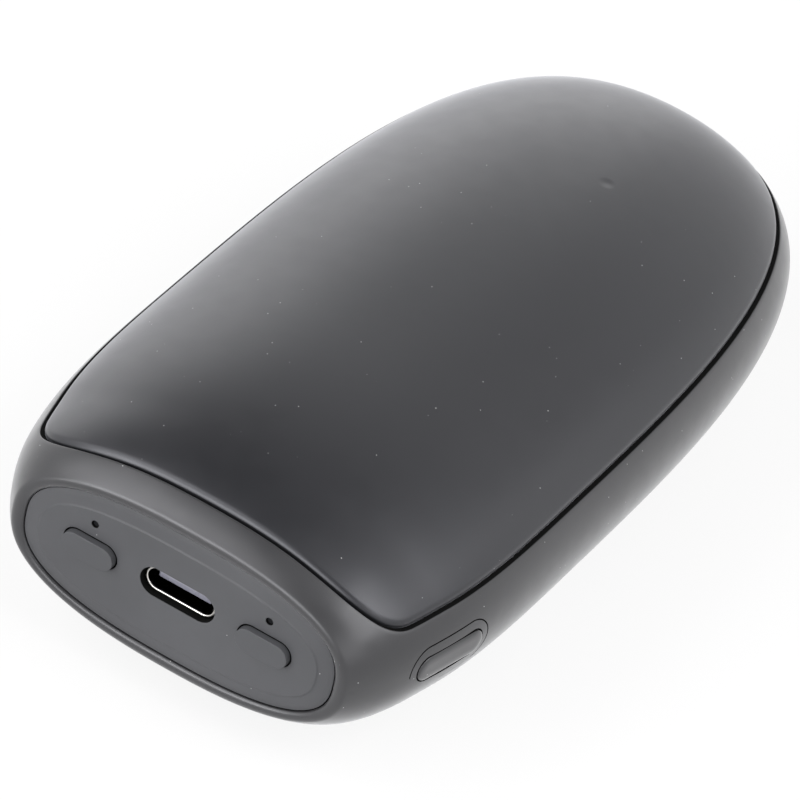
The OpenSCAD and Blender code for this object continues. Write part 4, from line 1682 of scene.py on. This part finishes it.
@dataclass
class Studio:
    """Floor, surround, soft lamps, and the camera at the photograph's angle."""

    body: Body
    lamps: tuple[SoftLamp, ...] = (
        SoftLamp("lamp_front", 0.0, 18.0, 4.9, 0.6),
        SoftLamp("lamp_front_right", 60.0, 18.0, 1.5, 0.6),
        SoftLamp("lamp_back_left", 210.0, 18.0, 0.95, 0.6),
        SoftLamp("lamp_far_left", 240.0, 18.0, 0.65, 0.6),
        SoftLamp("lamp_front_left", 330.0, 18.0, 6.9, 0.6),
        SoftLamp("lamp_right_high", 90.0, 45.0, 8.5, 0.8),
        SoftLamp("lamp_back_right_high", 120.0, 45.0, 1.6, 0.8),
        SoftLamp("lamp_back_high", 180.0, 45.0, 0.8, 0.8),
        SoftLamp("lamp_left_high", 300.0, 45.0, 5.2, 0.8),
        SoftLamp("lamp_front_left_high", 330.0, 45.0, 3.6, 0.8),
        SoftLamp("lamp_right_top", 90.0, 72.0, 1.85, 0.8),
    )
    azimuth: float = 23.78
    elevation: float = 39.01
    roll: float = 13.08
    distance: float = 856.94 * MM
    target: Triple = (5.97 * MM, 31.67 * MM, 11.96 * MM)
    focal_pixels: float = 8000.0
    image_side: float = 800.0
    sensor: float = 36.0
    clip_start: float = 0.01
    floor_side: float = 8.0
    floor_tone: float = 0.9
    floor_glow: float = 0.86
    surround: float = 0.05
    ceiling: float = 0.2
    ceiling_band: Pair = (0.3, 0.8)

    def build_camera(self) -> None:
        """Set up the camera from the fitted angles."""
        back = towards(self.azimuth, self.elevation)
        level = towards(self.azimuth + 90.0, 0.0)
        tilt = Matrix.Rotation(math.radians(self.roll), 3, back)
        right = tilt @ level
        above = tilt @ back.cross(level)
        spot = Vector(self.target) + self.body.origin + back * self.distance
        data = bpy.data.cameras.new("photo_camera")
        data.sensor_width = self.sensor
        data.lens = self.focal_pixels / self.image_side * self.sensor
        data.clip_start = self.clip_start
        camera = put_in_scene("photo_camera", data)
        axes = Matrix((right, above, back)).transposed().to_4x4()
        camera.matrix_world = Matrix.Translation(spot) @ axes
        bpy.context.scene.camera = camera

    def build_floor(self) -> None:
        """Lay a pale floor that shows white and keeps the shadow."""
        deselect_all()
        bpy.ops.mesh.primitive_plane_add(size=self.floor_side)
        floor = bpy.context.object
        floor.name = "floor"
        material = bpy.data.materials.new("pale_floor")
        graph = Graph(material)
        tone = (self.floor_tone,) * 3
        diffuse = graph.node("ShaderNodeBsdfDiffuse", {"Color": (*tone, 1.0)})["BSDF"]
        glow = graph.node("ShaderNodeEmission", {"Color": (1.0, 1.0, 1.0, 1.0)})["Emission"]
        inputs = {0: graph.white_rays(self.floor_glow), 1: diffuse, 2: glow}
        mix = graph.node("ShaderNodeMixShader", inputs)["Shader"]
        graph.node("ShaderNodeOutputMaterial", {"Surface": mix})
        floor.data.materials.append(material)

    def build_world(self) -> None:
        """Surround the scene with white that also shows in gloss, under a darker ceiling."""
        world = bpy.data.worlds.new("surround")
        bpy.context.scene.world = world
        graph = Graph(world)
        way = graph.node("ShaderNodeTexCoord")["Generated"]
        height = graph.node("ShaderNodeSeparateXYZ", {"Vector": way})["Z"]
        run = (1.0, self.ceiling, *self.ceiling_band)
        dome = graph.ranged(height, *run, interpolation_type="SMOOTHSTEP")
        strength = graph.ranged(graph.white_rays(1.0), self.surround, dome, 0.0, 1.0)
        inputs = {"Color": (1.0, 1.0, 1.0, 1.0), "Strength": strength}
        background = graph.node("ShaderNodeBackground", inputs)["Background"]
        graph.node("ShaderNodeOutputWorld", {"Surface": background})

    def build(self) -> None:
        """Set the whole stage."""
        self.build_camera()
        self.build_floor()
        self.build_world()
        for lamp in self.lamps:
            lamp.build()
        bpy.context.scene.view_settings.view_transform = "Standard"


def main() -> None:
    """Build every sub-assembly in order."""
    logging.basicConfig(level=logging.INFO, format="%(name)s %(message)s")
    body = Body.from_frame()
    Studio(body).build()
    dent = (4.2 * MM, 77.7 * MM + body.origin.y, 14.2 * MM + body.origin.z)
    coat = {
        "colour": (0.0056, 0.0058, 0.007), "roughness": 0.4, "spread": 0.03, "dust": 0.04,
        "sheen": 0.42, "coat": 1.0, "tone": (0.905, 0.912, 1.0),
    }
    # Painted shade: a near-black, dull finish laid on faces down in seams, gaps, holes and round the buttons,
    # where shade falls.
    painted_shade = Moulded("painted_recess_shade", (0.003, 0.003, 0.003), 0.8, specular=0.1).build()
    top = DentedCoat("cover_coat", dent=dent, **coat).build()
    Covers(body).build(top, Moulded("under_coat", **coat).build(), painted_shade)
    frame_plastic = Moulded(
        "frame_plastic", (0.0218, 0.0217, 0.0232), 0.36, dust=0.07, sheen=0.3, coat=1.0,
        tone=(0.95, 0.95, 1.0),
    ).build()
    band = Band(body)
    band.build(frame_plastic, painted_shade)
    panel = EndPanel(body, band)
    panel_plastic = Moulded(
        "panel_plastic", (0.059, 0.0598, 0.065), 0.5, dust=0.03, specular=0.35
    ).build()
    panel.build(panel_plastic, painted_shade)
    button_plastic = Moulded("button_plastic", (0.056, 0.057, 0.062), 0.5, specular=0.35).build()
    Buttons(body, panel).build(button_plastic, frame_plastic, painted_shade)
    rim_y = body.origin.y + Socket.recess
    Socket(body, panel).build(
        DrawnShell("socket_steel", (0.75, 0.73, 0.7), 0.24, rim_y=rim_y).build(),
        Moulded("blade_plastic", (0.16, 0.16, 0.2), 0.3).build(),
    )
    Insides().dress()


if __name__ == "__main__":
    main()
